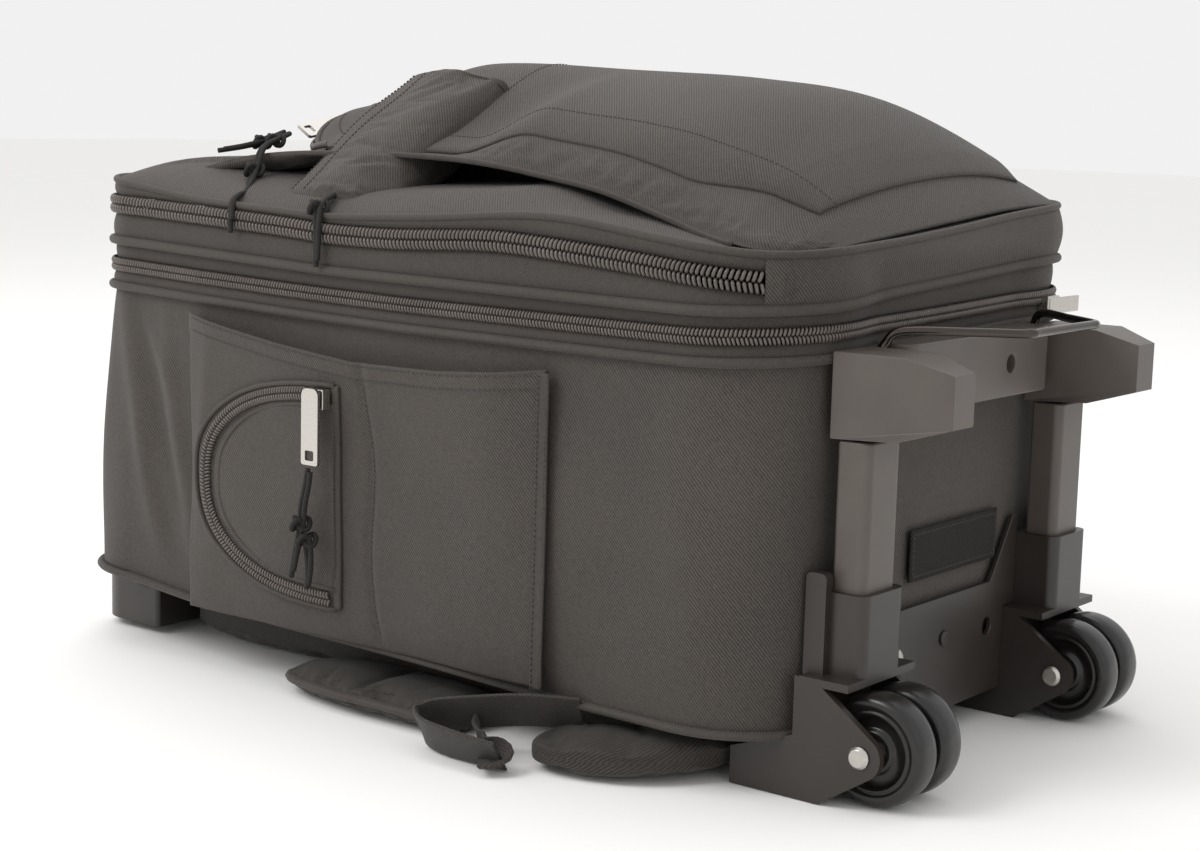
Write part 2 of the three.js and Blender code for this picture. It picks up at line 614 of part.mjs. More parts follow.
function makeAxle(name, side) {
  const end = CHEEK_OUTER + GAP;
  const domed = end + RIVET_HEAD;
  const profile = [
    [0, -domed],
    [RIVET_HEAD_RADIUS - 1.5, -domed],
    [RIVET_HEAD_RADIUS, -end - 0.6],
    [RIVET_HEAD_RADIUS, -end],
    [AXLE_RADIUS, -end],
    [AXLE_RADIUS, end],
    [RIVET_HEAD_RADIUS, end],
    [RIVET_HEAD_RADIUS, end + 0.6],
    [RIVET_HEAD_RADIUS - 1.5, domed],
    [0, domed],
  ].map(([r, t]) => new THREE.Vector2(r, t));
  const axle = new THREE.LatheGeometry(profile, 16);
  add(name, geometryOf(solid(axle)).translate(0, (side * TRACK) / 2, WHEEL_RADIUS), STEEL);
}

function makeStrutAndFoot(name, side) {
  const widthY = outward(side, [-STRUT_HALF, STRUT_HALF]);
  const strut = roundedRectangle([STRUT_BACK, STRUT_FRONT], widthY, 2, 5);
  const footZ = [FOOT_BOTTOM, FOOT_BOTTOM + FOOT_HEIGHT];
  add("strut_" + name, upright(strut, [CHEEK_TOP + GAP, FOOT_BOTTOM - GAP], 3), PLASTIC);

  const profile = polygon([
    [FOOT_BACK, footZ[0]],
    [FOOT_KNEE - 3, footZ[0] + 2],
    [FOOT_END, footZ[0] + 10],
    [FOOT_END, footZ[1] - 7],
    [FOOT_KNEE, footZ[1]],
    [FOOT_BACK, footZ[1]],
  ]);
  const foot = across(profile, [-FOOT_HALF, FOOT_HALF]);
  const place = foot.attributes.position;
  for (let i = 0; i < place.count; i++) {
    const past = Math.max(0, place.getX(i) - FOOT_KNEE) / (FOOT_END - FOOT_KNEE);
    const narrow = THREE.MathUtils.lerp(1, FOOT_END_HALF / FOOT_HALF, past);
    place.setY(i, place.getY(i) * narrow);
  }
  foot.translate(0, (side * TRACK) / 2, 0);
  const pin = across(circle(BAIL_WIRE / 2 + GAP, 12), side > 0 ? [0, PIN_DEPTH] : [-PIN_DEPTH, 0]);
  pin.translate(BAIL_X, (side * (TRACK - 2 * FOOT_HALF)) / 2 - side * 0.5, BAIL_Z);
  add("foot_" + name, cut(foot, pin), PLASTIC);
}

function makeBail() {
  const inner = TRACK / 2 - FOOT_HALF;
  const top = BAIL_Z + BAIL_RISE;
  const half = [
    [BAIL_X, inner + 7, BAIL_Z],
    [BAIL_X, inner + 3.5, BAIL_Z],
    [BAIL_X, inner, BAIL_Z],
    [BAIL_X + 0.3, inner - 3.2, BAIL_Z + 1.2],
    [BAIL_X + 1.6, inner - 4.8, BAIL_Z + 5],
    [BAIL_X + 8, inner - 9, top - 0.5],
    [BAIL_X + 34, inner - 30, top],
    [BAIL_REACH - 4, BAIL_HALF + 5, top],
    [BAIL_REACH, BAIL_HALF, top],
  ];
  const other = half.map(([x, y, z]) => [x, -y, z]).reverse();
  const route = [...half, [BAIL_REACH, 0, top], ...other];
  add("bail", roundBar(route, BAIL_WIRE / 2, 8, 64), WIRE);
}

function makeBaseParts() {
  const back = BASE_X + ZIP_PROUD + 3 * GAP;
  const inner = TRACK / 2 - FOOT_HALF - BAR_END_GAP;
  const front = back + BAR_DEPTH;
  const bar = roundedRectangle([back, front], [-inner, inner], 1, 9);
  const barZ = [SHELL_TOP + BAR_ABOVE - BAR_HEIGHT, SHELL_TOP + BAR_ABOVE];
  const holes = [-BAR_HOLE_Y, BAR_HOLE_Y].map((y) => {
    const hole = lengthways(circle(BAR_HOLE_RADIUS, 16), [front - 7, front + 1]);
    return hole.translate(0, y, (barZ[0] + barZ[1]) / 2);
  });
  add("cross_bar", cut(upright(bar, barZ, 3), ...holes), PLASTIC);

  const low = TRACK / 2 - CHEEK_OUTER - GAP;
  const high = TRACK / 2 - COLLAR_HALF - GAP;
  const right = [
    [low, PLATE_BOTTOM],
    [low, CHEEK_TOP + GAP],
    [high, CHEEK_TOP + GAP],
    [high, CHEEK_TOP + EAR_RISE],
    [high - 5, CHEEK_TOP + EAR_RISE],
    [high - 22.6, CHEEK_TOP + PLATE_RISE + 8],
    [high - 28.6, CHEEK_TOP + PLATE_RISE],
  ];
  const left = right.map(([y, z]) => [-y, z]).reverse();
  const plateX = [BASE_X + PLATE_STANDOFF, BASE_X + PLATE_STANDOFF + PLATE_THICK];
  const face = plateX[1] + GAP;
  const eyelet = lengthways(circle(BAR_HOLE_RADIUS, 16), [plateX[0] - 1, plateX[1] + 1]);
  eyelet.translate(0, EYELET_Y, RIVET_Z);
  add("base_plate", cut(lengthways(polygon([...right, ...left]), plateX), eyelet), DARK_PLASTIC);
  add("plate_rivet_near", rivet(SILVER_RIVET).translate(face, 0, RIVET_Z), STEEL);
  add("plate_rivet_centre", rivet(DARK_RIVET).translate(face, 0, RIVET_Z + 2), DARK_PLASTIC);
  const patchX = [BASE_X + GAP, BASE_X + GAP + PATCH_THICK];
  const patchZ = [CHEEK_TOP + PLATE_RISE + 12, CHEEK_TOP + PLATE_RISE + 12 + PATCH_HEIGHT];
  add("hook_patch", box(patchX, PATCH_Y, patchZ), BINDING);
}

// A rivet head that stands on the plane x = 0.
function rivet({ y, radius, height }) {
  const head = new THREE.CylinderGeometry(0.8 * radius, radius, height, 16);
  return head.rotateZ(-Math.PI / 2).translate(height / 2, y, 0);
}

// ---- Side pockets, zip pulls and cords ----

// A flat pull tab with a slot at its free end, lying in x and y, from its pivot towards -x.
function tab() {
  const half = TAB_WIDTH / 2;
  const plan = roundedRectangle([-TAB_LENGTH, 0], [-half, half], 1.5, 4);
  const slot = roundedRectangle([-TAB_LENGTH + 2.5, -TAB_LENGTH + 8], [-half + 3, half - 3], 1);
  return cut(
    upright(plan, [-TAB_THICK / 2, TAB_THICK / 2], 3),
    upright(slot, [-TAB_THICK, TAB_THICK], 2),
  );
}

function slider() {
  const [along, wide, tall] = SLIDER;
  return box([-along / 2, along / 2], [-wide / 2, wide / 2], [0, tall]);
}

function makeSidePockets() {
  const [x0, x1] = POCKET_X;
  const [z0, z1] = POCKET_Z;
  const outer = SIDE_Y - POCKET_DEPTH;
  const body = box(POCKET_X, [outer, SIDE_Y - GAP], POCKET_Z);
  const room = box(
    [x0 + POCKET_CLOTH, x1 - POCKET_CLOTH],
    [outer + POCKET_CLOTH, SIDE_Y + 1],
    [z0 + POCKET_CLOTH, z1 + 1],
  );
  add("side_pocket", cut(body, room), FABRIC);

  const d = new THREE.Shape();
  d.moveTo(D_STRAIGHT_X, D_MIDDLE_Z - D_RADIUS);
  d.lineTo(D_STRAIGHT_X, D_MIDDLE_Z + D_RADIUS);
  d.lineTo(D_STRAIGHT_X - D_STRAIGHT, D_MIDDLE_Z + D_RADIUS);
  d.absarc(D_STRAIGHT_X - D_STRAIGHT, D_MIDDLE_Z, D_RADIUS, Math.PI / 2, 1.5 * Math.PI);
  const face = outer - GAP;
  add("d_pocket", across(d, [face - D_THICK, face], 10), FABRIC);

  const zipTop = D_MIDDLE_Z + D_RADIUS - 4;
  const sliderY = face - D_THICK - GAP;
  const slide = slider().rotateX(Math.PI / 2).translate(D_SLIDER_X, sliderY, zipTop);
  add("d_zip_slider", slide, NICKEL);
  const pull = tab().rotateX(Math.PI / 2).rotateY(-Math.PI / 2);
  add("d_pull", pull.translate(D_SLIDER_X, sliderY - SLIDER[2] - 2, zipTop + 6), NICKEL);
}

function makePulls() {
  // two sliders of the main zip, parked side by side on the top panel, each with its tab
  const top = TOP_X - ZIP_PROUD - GAP;
  const level = MAIN_ZIP[1] + GAP / 2;
  for (const [name, way] of [["main_slider_near", -1], ["main_slider_far", 1]]) {
    const body = box([top - 7, top], [-7, 7], [-5.5, 5.5]);
    const hanging = box([top - 7 - TAB_THICK, top - 6], [-6, 6], [-TAB_LENGTH, 5]);
    add(name, join(body, hanging).translate(0, way * 9, level), NICKEL);
  }

  // the expansion zip's slider, at the far corner of the base
  const corner = HALF_WIDTH - BASE_CORNER;
  const face = BASE_X + ZIP_PROUD + GAP;
  const expansion = join(
    box([face, face + 6], [corner - 3, corner + 11], [-5.5, 5.5]),
    box([face + 5, face + 5 + TAB_THICK], [corner - 2, corner + 34], [-4.5, 4.5]),
  );
  add("expansion_slider", expansion.translate(0, 0, EXPANSION_ZIP_UP[0] + 5), NICKEL);
}

// The front pocket's slider sits on its end face; its tab lies along -y towards the near side.
const FRONT_SLIDER = [FRONT_POCKET.x[0] - GAP, -16, LID_TOP + 47];

function makeFrontPulls() {
  const [x, y, z] = FRONT_SLIDER;
  const slide = box([x - 6, x], [y - 7, y + 7], [z - 5.5, z + 5.5]);
  add("front_slider", slide, NICKEL);
  const lying = tab().rotateZ(Math.PI / 2).rotateY(0.6).rotateX(0.17);
  add("front_pull", lying.translate(x - 12, y - 5, z), NICKEL);
  const hidden = tab().rotateZ(Math.PI / 2).rotateX(0.05);
  const [hiddenX, hiddenY] = [HANDLE_X[1] - 13, SIDE_Y + 61];
  add("hidden_pull", hidden.translate(hiddenX, hiddenY, lidTop(hiddenX, hiddenY) + 2), NICKEL);
}

// A free cord through its points.
function cord(name, points, steps) {
  cordNames.add(name);
  add(name, roundBar(points, CORD_RADIUS, 8, steps), CORD);
}

// ---- Shoulder straps, folded beside the back panel, and the carry handle ----

// The strap's padded upper part, a flap that lies beside the back panel.
function makeStrapPad(name, side) {
  const y = side > 0 ? [STRAP_INNER, STRAP_OUT] : [-STRAP_OUT, -STRAP_INNER];
  const plan = roundedRectangle(STRAP_PAD_X, y, 14, 4);
  const over = (x, v) => 3 + STRAP_THICK * (1 - 0.5 * rise(Math.abs(v) - STRAP_INNER - 20, 40));
  const pad = block(STRAP_PAD_X, y, [8, 4], () => 0, over);
  add("strap_pad_" + name, common(pad, upright(plan, [-1, 40])), FABRIC);
}

// The strap's lower part, folded back under the corner of the case.
function makeStrapTail(name, side) {
  const outer = STRAP_OUT - 1;
  const y = side > 0 ? [STRAP_INNER, outer] : [-outer, -STRAP_INNER];
  const [start, end] = STRAP_TAIL_X;
  const [fold, tip] = TAIL_HEIGHTS;
  const tipRadius = (outer - STRAP_INNER) / 2 - 3;
  const plan = roundedRectangle(STRAP_TAIL_X, y, 5, tipRadius);
  const over = (x) => fold + (tip - fold) * rise(x - start, end - start);
  const tail = block(STRAP_TAIL_X, y, [6, 2], () => 0, over);
  add("strap_tail_" + name, common(tail, upright(plan, [-1, 40], 4)), FABRIC);
}

// The strap's webbing, looped on the ground, with the tape triangle that holds it to the seam.
function makeStrapWebbing(name, side) {
  const span = (low, high) => (side > 0 ? [low, high] : [-high, -low]);
  const [start, end] = STRAP_LOOP_X;
  const webbing = roundedRectangle(STRAP_LOOP_X, span(STRAP_OUT + GAP, HALF_WIDTH + LOOP_WIDER), 8);
  const top = SEAM_Z - 2;
  const triangle = polygon([[start, top], [end, top], [end - 5, 3], [end - 20, 0], [start + 16, 8]]);
  const anchor = across(triangle, span(STRAP_OUT - 4, STRAP_OUT + 1));
  add("strap_webbing_" + name, join(upright(webbing, [0, STRAP_WEB], 3), anchor), BINDING);
}

function makeCarryHandle() {
  const [near, far] = HANDLE_Y;
  const [low, high] = HANDLE_HEIGHTS.map((height) => LID_TOP + height);
  const centre = (y) => {
    const s = (y - near) / (far - near);
    return low + (high - low) * s + HANDLE_ARCH * 4 * s * (1 - s);
  };
  const half = HANDLE_THICK / 2;
  const under = (x, y) => centre(y) - half;
  const pad = block(HANDLE_X, [near, far], [4, 12], under, (x, y) => centre(y) + half);
  const plan = roundedRectangle(HANDLE_X, [near, far], 10, 6);
  add("carry_handle", common(pad, upright(plan, [low - 30, high + 40], 3)), FABRIC);
}

function makeCords() {
  cord("pull_cord_short", [
    [-452, -79, 312], [-451, -88, 309.5], [-450, -98, 306.5], [-452, -112, 303.5], [-458.5, -126, 301],
  ], 12);
  cord("pull_cord_long", [
    [-447, -79, 311.5], [-441, -92, 309], [-436, -105, 306.5], [-431.5, -117.5, 302],
    [-425.5, -130, 287.5], [-417, -144, 278.5], [-410.5, -155, 277], [-406, -163.5, 273.5],
    [-403, -167, 265], [-402, -168, 257],
  ], 26);
  cord("hidden_pull_cord", [
    [-344, -144.8, 280.4], [-343, -150, 278.6], [-341, -157, 276.6], [-338.5, -163.3, 273],
    [-336, -166.5, 265], [-334.5, -167.5, 254], [-334, -168, 242],
  ], 16);
  const y = SIDE_Y - POCKET_DEPTH - D_THICK - 9.5;
  cord("side_cord_long", [
    [-322, y, 134], [-324, y, 124], [-326.5, y - 0.5, 113], [-327, y - 1, 101], [-330, y - 0.5, 90],
    [-332.5, y, 81], [-335, y + 0.5, 72],
  ], 20);
  cord("side_cord_short", [
    [-323, y, 98], [-323, y, 91], [-322.5, y + 0.5, 83], [-322.5, y + 1, 75], [-323.5, y + 1, 67],
  ], 10);
}

// The shapes below are built in the order of the bag's parts.
makeShell();
makeRim();
makeLid();
makeHandle();
makeBackPad();
for (const [name, side] of Object.entries(SIDES)) {
  makeHousing(name, side);
  makeAxle("axle_" + name, side);
  makeWheel("wheel_" + name + "_outer", side * (TRACK / 2 + TWIN_OFFSET));
  makeWheel("wheel_" + name + "_inner", side * (TRACK / 2 - TWIN_OFFSET));
  makeStrutAndFoot(name, side);
}
makeBail();
makeBaseParts();
makeSidePockets();
makePulls();
makeFrontPulls();
for (const [name, side] of Object.entries(SIDES)) {
  makeStrapPad(name, side);
  makeStrapTail(name, side);
  makeStrapWebbing(name, side);
}
makeCarryHandle();
makeCords();

// ---- Shift the whole bag so that its box, without the free cords, is centred on x ----

bag.updateMatrixWorld(true);
const extent = new THREE.Box3();
for (const mesh of bag.children) {
  if (!cordNames.has(mesh.name)) extent.expandByObject(mesh);
}
bag.position.x = -(extent.min.x + extent.max.x) / 2;
const rollingBag = new THREE.Group();
rollingBag.add(bag);

export default rollingBag;
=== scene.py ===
"""The looks of a soft wheeled flight bag lying on its back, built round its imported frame.

Lengths named in the sizes below are in millimetres from the wheel axle (x), the bag's middle (y)
and the ground (z). at() turns them to metres in the frame. +X points to the wheels, +Z is the
bag's front, -Y is the side with the pockets.
"""

import json

import bmesh
import bpy
import numpy as np
from mathutils import Matrix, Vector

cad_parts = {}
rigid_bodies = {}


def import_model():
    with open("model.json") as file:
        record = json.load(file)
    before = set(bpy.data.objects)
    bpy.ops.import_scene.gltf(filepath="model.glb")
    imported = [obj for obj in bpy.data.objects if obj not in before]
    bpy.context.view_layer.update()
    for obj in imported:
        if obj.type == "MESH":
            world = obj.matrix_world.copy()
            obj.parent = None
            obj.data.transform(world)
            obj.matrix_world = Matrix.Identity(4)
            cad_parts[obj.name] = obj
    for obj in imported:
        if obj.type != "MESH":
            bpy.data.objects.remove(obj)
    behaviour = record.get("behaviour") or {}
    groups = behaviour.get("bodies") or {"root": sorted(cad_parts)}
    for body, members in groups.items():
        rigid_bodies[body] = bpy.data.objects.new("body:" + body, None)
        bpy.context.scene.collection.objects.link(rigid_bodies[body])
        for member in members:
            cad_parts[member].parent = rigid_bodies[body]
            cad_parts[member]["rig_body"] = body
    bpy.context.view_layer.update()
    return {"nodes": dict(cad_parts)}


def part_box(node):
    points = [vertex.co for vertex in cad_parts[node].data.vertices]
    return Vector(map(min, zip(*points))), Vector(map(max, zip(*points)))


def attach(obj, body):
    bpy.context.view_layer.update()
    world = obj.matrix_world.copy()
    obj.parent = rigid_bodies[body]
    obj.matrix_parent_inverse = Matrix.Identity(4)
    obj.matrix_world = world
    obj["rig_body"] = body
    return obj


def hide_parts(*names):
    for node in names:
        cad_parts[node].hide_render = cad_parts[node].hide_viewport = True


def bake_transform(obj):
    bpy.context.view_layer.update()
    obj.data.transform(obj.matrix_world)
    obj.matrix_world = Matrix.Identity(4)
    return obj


bl_info = {
    "name": "Rolling flight bag",
    "version": (1, 0, 0),
    "blender": (4, 5, 0),
    "location": "3D View > Sidebar > Flight bag",
    "description": "Builds the cloth, zips, wheels and fittings of a rolling flight bag on its frame",
    "category": "Add Mesh",
}

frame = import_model()
MM = 0.001


def middle(node):
    """Centre of a CAD node's box, in metres."""
    low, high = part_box(node)
    return (low + high) / 2


AXLE_X = middle("axle_near").x


def edge(node, axis, end):
    """One face of a node's box in millimetres from the axle: axis 0, 1 or 2, end 0 low or 1 high."""
    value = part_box(node)[end][axis]
    return (value - (AXLE_X if axis == 0 else 0.0)) / MM


TOP_X = edge("lower_shell", 0, 0)
BASE_X = edge("lower_shell", 0, 1)
HALF_WIDTH = edge("lower_shell", 1, 1)
SIDE_Y = -HALF_WIDTH
TRACK_HALF = middle("axle_far").y / MM
WHEEL_RADIUS = middle("axle_near").z / MM
TOP_CORNER = 36.0
BASE_CORNER = 58.0


# ---- Numbers and curves -------------------------------------------------------------------------


def at(x, y, z):
    """Millimetres from axle, middle and ground to points in the frame, in metres."""
    x, y, z = np.broadcast_arrays(*[np.asarray(v, float) for v in (x, y, z)])
    return np.stack([AXLE_X + x * MM, y * MM, z * MM], axis=-1)


def step(t):
    """0 up to t = 0, 1 from t = 1, a cubic between."""
    t = np.clip(t, 0.0, 1.0)
    return t * t * (3 - 2 * t)


def swell(t, power=2.6):
    """0 at t = 0, 1 from t = 1, rising fast first: 1 - (1 - t) ** power."""
    return 1 - (1 - np.clip(t, 0.0, 1.0)) ** power


def hump(t, centre, width):
    """A bell curve of height 1."""
    return np.exp(-(((t - centre) / width) ** 2))


def through(points, count):
    """A Catmull-Rom curve through the points, sampled evenly: a cubic on each span whose end
    slopes are half the step between the neighbours."""
    p = np.asarray(points, float)
    p = np.concatenate([2 * p[:1] - p[1:2], p, 2 * p[-1:] - p[-2:-1]])
    t = np.linspace(0, len(points) - 1 - 1e-9, 12 * len(points))
    i = t.astype(int)
    f = (t - i)[:, None]
    a, b, c, d = p[i], p[i + 1], p[i + 2], p[i + 3]
    dense = 0.5 * (2 * b + (c - a) * f + (2 * a - 5 * b + 4 * c - d) * f**2 + (3 * b - a - 3 * c + d) * f**3)
    run = distances(dense)
    even = np.linspace(0, run[-1], count)
    return np.stack([np.interp(even, run, dense[:, k]) for k in range(dense.shape[1])], axis=1)


def crowded(low, high, count, share=1.0):
    """Numbers from low to high that crowd towards both ends: even steps mixed with a share of cosine
    steps."""
    spread = (1 - np.cos(np.linspace(0, np.pi, count))) / 2
    return low + (high - low) * (share * spread + (1 - share) * np.linspace(0, 1, count))


def unit(v):
    """Vectors scaled to length 1."""
    return v / np.maximum(np.linalg.norm(v, axis=-1, keepdims=True), 1e-12)


def distances(path):
    """The distance along a path to each of its points: its steps summed from 0."""
    return np.concatenate([[0], np.cumsum(np.linalg.norm(np.diff(path, axis=0), axis=1))])


def read(places, run, vectors):
    """Vectors given at the distances run, looked up at other places."""
    return np.stack([np.interp(places, run, vectors[:, k]) for k in range(3)], axis=1)


def directions(path, side, closed=False):
    """Tangent, side and up at each point of a path: the side vector is squared to the tangent."""
    if closed:
        tangent = unit(np.roll(path, -1, 0) - np.roll(path, 1, 0))
    else:
        tangent = unit(np.gradient(path, axis=0))
    side = np.broadcast_to(np.asarray(side, float), path.shape)
    side = unit(side - tangent * np.sum(side * tangent, axis=1, keepdims=True))
    return tangent, side, np.cross(tangent, side)


# The plan outline of the case runs from the middle of the top end along the near side, the base
# end and the far side. It is a heading that is constant on the straights and turns on the corners.
STRAIGHTS = [
    HALF_WIDTH - TOP_CORNER,
    BASE_X - TOP_X - TOP_CORNER - BASE_CORNER,
    2 * (HALF_WIDTH - BASE_CORNER),
    BASE_X - TOP_X - TOP_CORNER - BASE_CORNER,
    HALF_WIDTH - TOP_CORNER,
]
BENDS = [np.pi / 2 * r for r in (TOP_CORNER, BASE_CORNER, BASE_CORNER, TOP_CORNER)]
LEGS = [leg for pair in zip(STRAIGHTS, BENDS) for leg in pair] + STRAIGHTS[-1:]
STOPS = np.concatenate([[0], np.cumsum(LEGS)])
AROUND = STOPS[-1]
HEADINGS = np.pi / 2 * np.array([-1, -1, 0, 0, 1, 1, 2, 2, 3, 3])
NEAR_SIDE = STOPS[2] - (TOP_X + TOP_CORNER)  # add an x on the near side to get its place round the case
BASE_MIDDLE = (STOPS[4] + STOPS[5]) / 2
FAR_SIDE = STOPS[6] + BASE_X - BASE_CORNER  # take an x on the far side away to get its place
_RUN = np.linspace(0, AROUND, 4001)
_HEAD = np.interp(_RUN, STOPS, HEADINGS)
_STEP = AROUND / 4000
_X = TOP_X + np.concatenate([[0], np.cumsum((np.cos(_HEAD[1:]) + np.cos(_HEAD[:-1])) / 2 * _STEP)])
_Y = np.concatenate([[0], np.cumsum((np.sin(_HEAD[1:]) + np.sin(_HEAD[:-1])) / 2 * _STEP)])


def outline(s):
    """Place round the case to its x, y and outward direction, by looking up the summed headings."""
    s = np.mod(s, AROUND)
    head = np.interp(s, _RUN, _HEAD)
    return np.interp(s, _RUN, _X), np.interp(s, _RUN, _Y), np.sin(head), -np.cos(head)


def level(pairs):
    """A height that varies round the case: a curve through (place, height) pairs that closes."""
    place, height = np.array(sorted(pairs)).T
    place = np.concatenate([place - AROUND, place, place + AROUND])
    height = np.tile(height, 3)
    fine = np.linspace(0, AROUND, 400)
    rough = np.interp(fine, place, height)
    kernel = np.hanning(17)
    kernel /= kernel.sum()
    soft = np.convolve(np.concatenate([rough[-9:-1], rough, rough[1:9]]), kernel, mode="valid")
    return lambda s: np.interp(np.mod(s, AROUND), fine, soft)


def near(x, z):
    """A height at an x on the near side, for level()."""
    return NEAR_SIDE + x, z


def base(y, z):
    """A height at a y on the base end, for level()."""
    return BASE_MIDDLE + y, z


EXPANSION_Z = level([
    (0, 233), near(-500, 232), near(-436, 229.5), near(-354, 227), near(-278, 225.5), near(-143, 225),
    near(-83, 225), base(-110, 228), base(0, 230.5), base(110, 234), (FAR_SIDE + 300, 234),
])
MAIN_Z = level([
    (0, 269), near(-500, 268), near(-436, 265.5), near(-354, 262), near(-331, 260), near(-279, 260),
    near(-244, 262), near(-209, 263.7), near(-170, 261.5), near(-120, 258), near(-84, 254.5), near(-45, 251),
    base(-60, 257), base(60, 264), base(130, 270), (FAR_SIDE + 300, 271),
])
LID_Z = level([
    (0, 284), near(-520, 283), near(-436, 273.5), near(-331, 269), near(-251, 273), near(-196, 277.5),
    near(-165, 277.5), near(-120, 272), near(-84, 268), near(-50, 264.5), base(-112, 267), base(-50, 270.3),
    base(6, 274.7), base(62, 280), base(122, 284), (FAR_SIDE + 300, 285),
])
RIM_Z = level([
    (0, 247.5), near(-500, 246.5), near(-331, 240), near(-83, 237.5), base(-110, 240.5), base(-48, 245),
    base(54, 250.7), base(113, 255), (FAR_SIDE + 100, 252), (FAR_SIDE + 400, 249),
])
SEAM_Z = level([
    (0, 46), near(-520, 45), near(-437, 37.5), near(-275, 34), near(-173, 30.5), near(-65, 29.5),
    base(0, 30), (FAR_SIDE + 100, 32), (FAR_SIDE + 400, 40),
])
ZIP_END = STOPS[3] + 48.0  # the main zip ends in the near corner of the base
ZIP_BACK = STOPS[6] - 34.0  # and starts again in the far one
CENTRE = at((TOP_X + BASE_X) / 2, 0, 150)

# The bail lies against the base end, so the zips are pressed in behind it.
BAIL_REACH = 100.0
BAIL_LOW, BAIL_HIGH = 204.0, 266.0
BAIL_PRESS = 3.4


def wall_point(s, z, out=0.0):
    """A point at a height on the case's side, pushed out by its lean, its belly and out, less the
    press behind the bail."""
    x, y, nx, ny = outline(s)
    low = SEAM_Z(s)
    up = (z - low) / (EXPANSION_Z(s) - low)
    lean = 17 * (1 - np.clip(up, 0, 1.2)) * np.clip(-nx, 0, 1) ** 1.5
    belly = 4 * np.sin(np.pi * np.clip(up, 0, 1)) * np.abs(ny)
    beside = s % AROUND - BASE_MIDDLE
    behind_bail = step((beside + BAIL_REACH) / 30) * step((BAIL_REACH - beside) / 30)
    press = BAIL_PRESS * behind_bail * step((z - BAIL_LOW) / 12) * step((BAIL_HIGH - z) / 14)
    push = lean + belly + out - press
    return at(x + nx * push, y + ny * push, z)


# ---- Meshes -------------------------------------------------------------------------------------

FLAT_ANGLE = np.radians(1.0)  # faces that turn less than this are one flat face
SHARP_ANGLE = np.radians(32)  # edges that turn more than this are rounded


def lengths(points, axis):
    """Mean distance along one axis of a grid of points, summed from 0: its measure in metres."""
    gaps = np.linalg.norm(np.diff(points, axis=axis), axis=-1)
    mean = gaps.mean(axis=1 - axis)
    return np.concatenate([[0], np.cumsum(mean)])


def mesh_of(name, vertices, faces, uvs=None):
    """An object of these vertices and faces, with one UV pair for each corner, shaded smooth."""
    mesh = bpy.data.meshes.new(name)
    mesh.from_pydata(vertices.tolist(), [], faces)
    mesh.shade_smooth()
    if uvs is not None:
        mesh.uv_layers.new(name="cloth").data.foreach_set("uv", np.asarray(uvs, float).ravel())
    piece = bpy.data.objects.new(name, mesh)
    bpy.context.scene.collection.objects.link(piece)
    return piece


def turn_outward(piece, away=None):
    """Points the faces out. A closed mesh is recalculated, an open one is turned as a whole so that
    its faces look along the vector away, or away from that point if it is given as ("from", point)."""
    shell = bmesh.new()
    shell.from_mesh(piece.data)
    if away is None:
        bmesh.ops.recalc_face_normals(shell, faces=shell.faces)
    else:
        shell.faces.ensure_lookup_table()
        shell.normal_update()
        some = list(shell.faces)[:: max(1, len(shell.faces) // 200)]
        normals = np.array([f.normal[:] for f in some])
        centres = np.array([f.calc_center_median()[:] for f in some])
        look = centres - np.array(away[1]) if isinstance(away[0], str) else np.array(away)
        if np.sum(normals * look) < 0:
            bmesh.ops.reverse_faces(shell, faces=shell.faces)
    shell.to_mesh(piece.data)
    shell.free()
    return piece


def surface(name, points, wrap_rows=False, wrap_columns=False, caps=False, away=None, plane=None):
    """A grid of points (rows, columns, 3) as a mesh of squares. Its UVs are the distances along the
    rows and columns in metres, so that a weave keeps its size, or two coordinates if plane names
    them, where the grid isn't square to the weave."""
    rows, columns = points.shape[:2]
    ext = points
    if wrap_rows:
        ext = np.concatenate([ext, ext[:1]], axis=0)
    if wrap_columns:
        ext = np.concatenate([ext, ext[:, :1]], axis=1)
    across, along = lengths(ext, 0), lengths(ext, 1)
    i, j = np.meshgrid(np.arange(len(across) - 1), np.arange(len(along) - 1), indexing="ij")
    corners = [(i, j), (i, j + 1), (i + 1, j + 1), (i + 1, j)]
    faces = np.stack([(a % rows) * columns + b % columns for a, b in corners], axis=-1).reshape(-1, 4)
    uvs = np.stack([np.stack([along[b], across[a]], axis=-1) for a, b in corners], axis=-2).reshape(-1, 2)
    if plane is not None:
        uvs = points.reshape(-1, 3)[faces.ravel()][:, list(plane)]
    faces = faces.tolist()
    if caps:
        faces.append(list(range(columns)))
        faces.append(list(range(rows * columns - columns, rows * columns))[::-1])
        uvs = np.concatenate([uvs, np.zeros((2 * columns, 2))])
    piece = mesh_of(name, points.reshape(-1, 3), faces, uvs)
    return turn_outward(piece, away)


def sweep(name, path, side, section, closed=False, scale=None):
    """A closed section carried along a path: each section point is placed by its share of the side
    and up vectors, times the scale at that place."""
    _, across, up = directions(path, side, closed)
    size = np.ones(len(path)) if scale is None else scale
    section = np.asarray(section, float)
    points = (
        path[:, None]
        + (size[:, None] * section[None, :, 0])[..., None] * across[:, None]
        + (size[:, None] * section[None, :, 1])[..., None] * up[:, None]
    )
    return surface(name, points, wrap_rows=closed, wrap_columns=True, caps=not closed)


def round_section(radius, sides, flat=1.0):
    """Points of a circle, or of an ellipse if flat isn't 1."""
    turn = 2 * np.pi * np.arange(sides) / sides
    return np.stack([radius * np.cos(turn), radius * flat * np.sin(turn)], axis=1)


